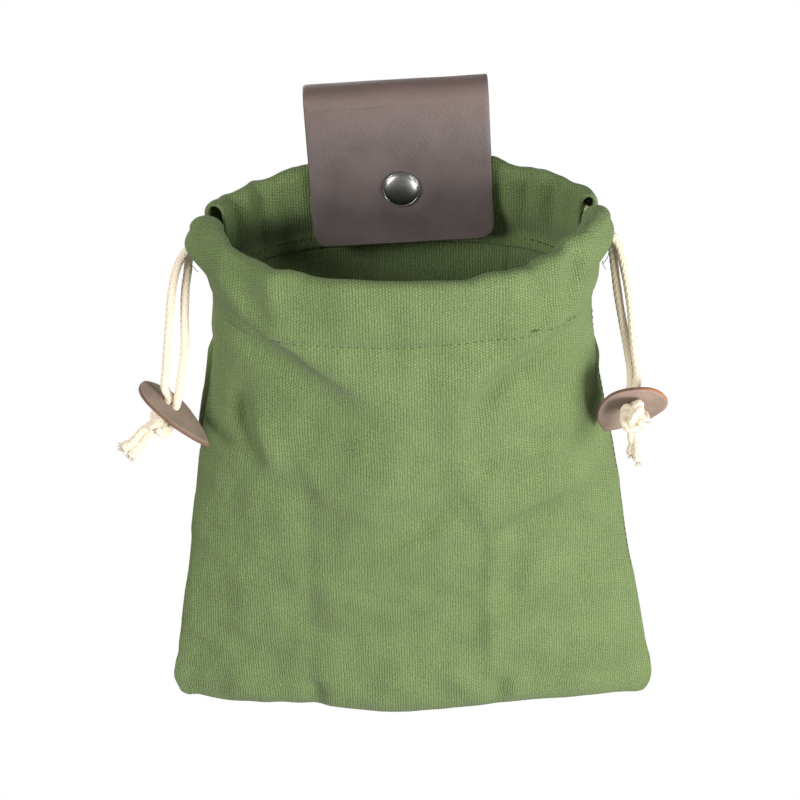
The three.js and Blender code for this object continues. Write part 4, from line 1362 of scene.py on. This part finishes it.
def cotton_material():
    """Braided natural cotton, warmer in patches, with a fuzzy skin."""
    shader = Shader("cotton_braid", 0.95, Sheen_Weight=0.2, Sheen_Roughness=0.6,
                    Specular_IOR_Level=0.2)
    place = shader.place()
    _, around, along = shader.cloth_place()
    fuzz = shader.noise(place, 2600, 3, 0.7)
    cloud = shader.noise(place, 160, 4, 0.6)
    lay = shader.math("MULTIPLY", along, 2.25)
    spin = shader.math("MULTIPLY", around, 6.0)
    one = shader.math("COSINE", shader.math("ADD", spin, lay))
    two = shader.math("COSINE", shader.math("SUBTRACT", spin, lay))
    braid = shader.math("MAXIMUM", one, two)
    # painted shade and light: darker in the braid's grooves, lighter on the strand tops, following the
    # bump's height
    colour = shader.mix(shader.fit(braid, -0.6, 0.9), COTTON_SHADE, COTTON_TOP)
    colour = shader.mix(shader.fit(cloud, 0.3, 0.75, 0.0, 0.5), colour, COTTON_WARM)
    height = shader.math("ADD", shader.math("MULTIPLY", braid, 0.6), fuzz)
    return shader.finish(colour, shader.bump(height, 0.00016, 0.7))


# ---- stage ----

def make_camera():
    eye = Vector(to_row(CAMERA_TARGET) + CAMERA_DISTANCE * MM * np.array([
        0, -math.cos(CAMERA_ELEVATION), math.sin(CAMERA_ELEVATION)]))
    data = bpy.data.cameras.new("camera")
    data.lens = CAMERA_LENS
    data.clip_start = 0.01
    camera = bpy.data.objects.new("camera", data)
    bpy.context.scene.collection.objects.link(camera)
    look = (Vector(to_row(CAMERA_TARGET)) - eye).to_track_quat("-Z", "Y").to_matrix().to_4x4()
    camera.matrix_world = Matrix.Translation(eye) @ look @ Matrix.Rotation(CAMERA_ROLL, 4, "Z")
    bpy.context.scene.camera = camera


def area_light(name, place, size, power):
    data = bpy.data.lights.new(name, "AREA")
    data.shape = "RECTANGLE"
    data.size = data.size_y = size
    data.energy = power
    light = bpy.data.objects.new(name, data)
    bpy.context.scene.collection.objects.link(light)
    aim = (Vector(LIGHT_TARGET) - Vector(place)).to_track_quat("-Z", "Y").to_matrix().to_4x4()
    light.matrix_world = Matrix.Translation(place) @ aim


def light_stage():
    """A studio with white walls that give little light, lit by the area lights."""
    world = bpy.data.worlds.new("studio")
    bpy.context.scene.world = world
    world.use_nodes = True
    nodes, links = world.node_tree.nodes, world.node_tree.links
    seen = nodes["Background"]
    seen.inputs["Color"].default_value = (1, 1, 1, 1)
    shining = nodes.new("ShaderNodeBackground")
    shining.inputs["Color"].default_value = (1, 1, 1, 1)
    shining.inputs["Strength"].default_value = WALL_LIGHT
    ray = nodes.new("ShaderNodeLightPath")
    choice = nodes.new("ShaderNodeMixShader")
    links.new(ray.outputs["Is Camera Ray"], choice.inputs[0])
    links.new(shining.outputs[0], choice.inputs[1])
    links.new(seen.outputs[0], choice.inputs[2])
    links.new(choice.outputs[0], nodes["World Output"].inputs["Surface"])
    for light in LIGHTS:
        area_light(*light)
    bpy.context.scene.view_settings.view_transform = "Standard"


# ---- assembly ----

def build_tassels():
    cotton = cotton_material()
    disc_face = leather_material("disc_leather", DISC_TONES, DISC_PAINTED_HIGHLIGHT_HEIGHTS)
    disc_edge = raw_edge_material()
    for side_name, tassel in TASSELS.items():
        disc = leather_disc(side_name, tassel["cup"], disc_face, disc_edge)
        knot = knot_of_cord(side_name, tassel["seed"], tassel["turn"], cotton)
        strands(side_name, cotton, knot, disc)
    drawstring_run("left", -1, 2, 7, cotton)
    drawstring_run("right", 1, -4, 6, cotton)


def build_bag():
    canvas = canvas_material()
    green = thread_material("green_thread", GREEN_THREAD)
    for end, side in (("front", FRONT), ("back", BACK)):
        piece = canvas_sheet(f"{end}_canvas", side, canvas)
        attach(piece, "bag", "canvas", f"{end}_panel", f"{end}_casing")
        hem_stitches(f"{end}_hem_stitches", side, f"{end}_hem_stitching", green)
    seam_stitches("left", -1, green)
    seam_stitches("right", 1, green)
    bottom_stitches(green)
    stray_threads(green)


def build_strap():
    belt_strap(leather_material("strap_leather", STRAP_TONES, STRAP_PAINTED_HIGHLIGHT_HEIGHTS))
    plate_stitches(thread_material("brown_thread", BROWN_THREAD))
    snap(metal_material())


make_camera()
build_tassels()
build_bag()
build_strap()
light_stage()
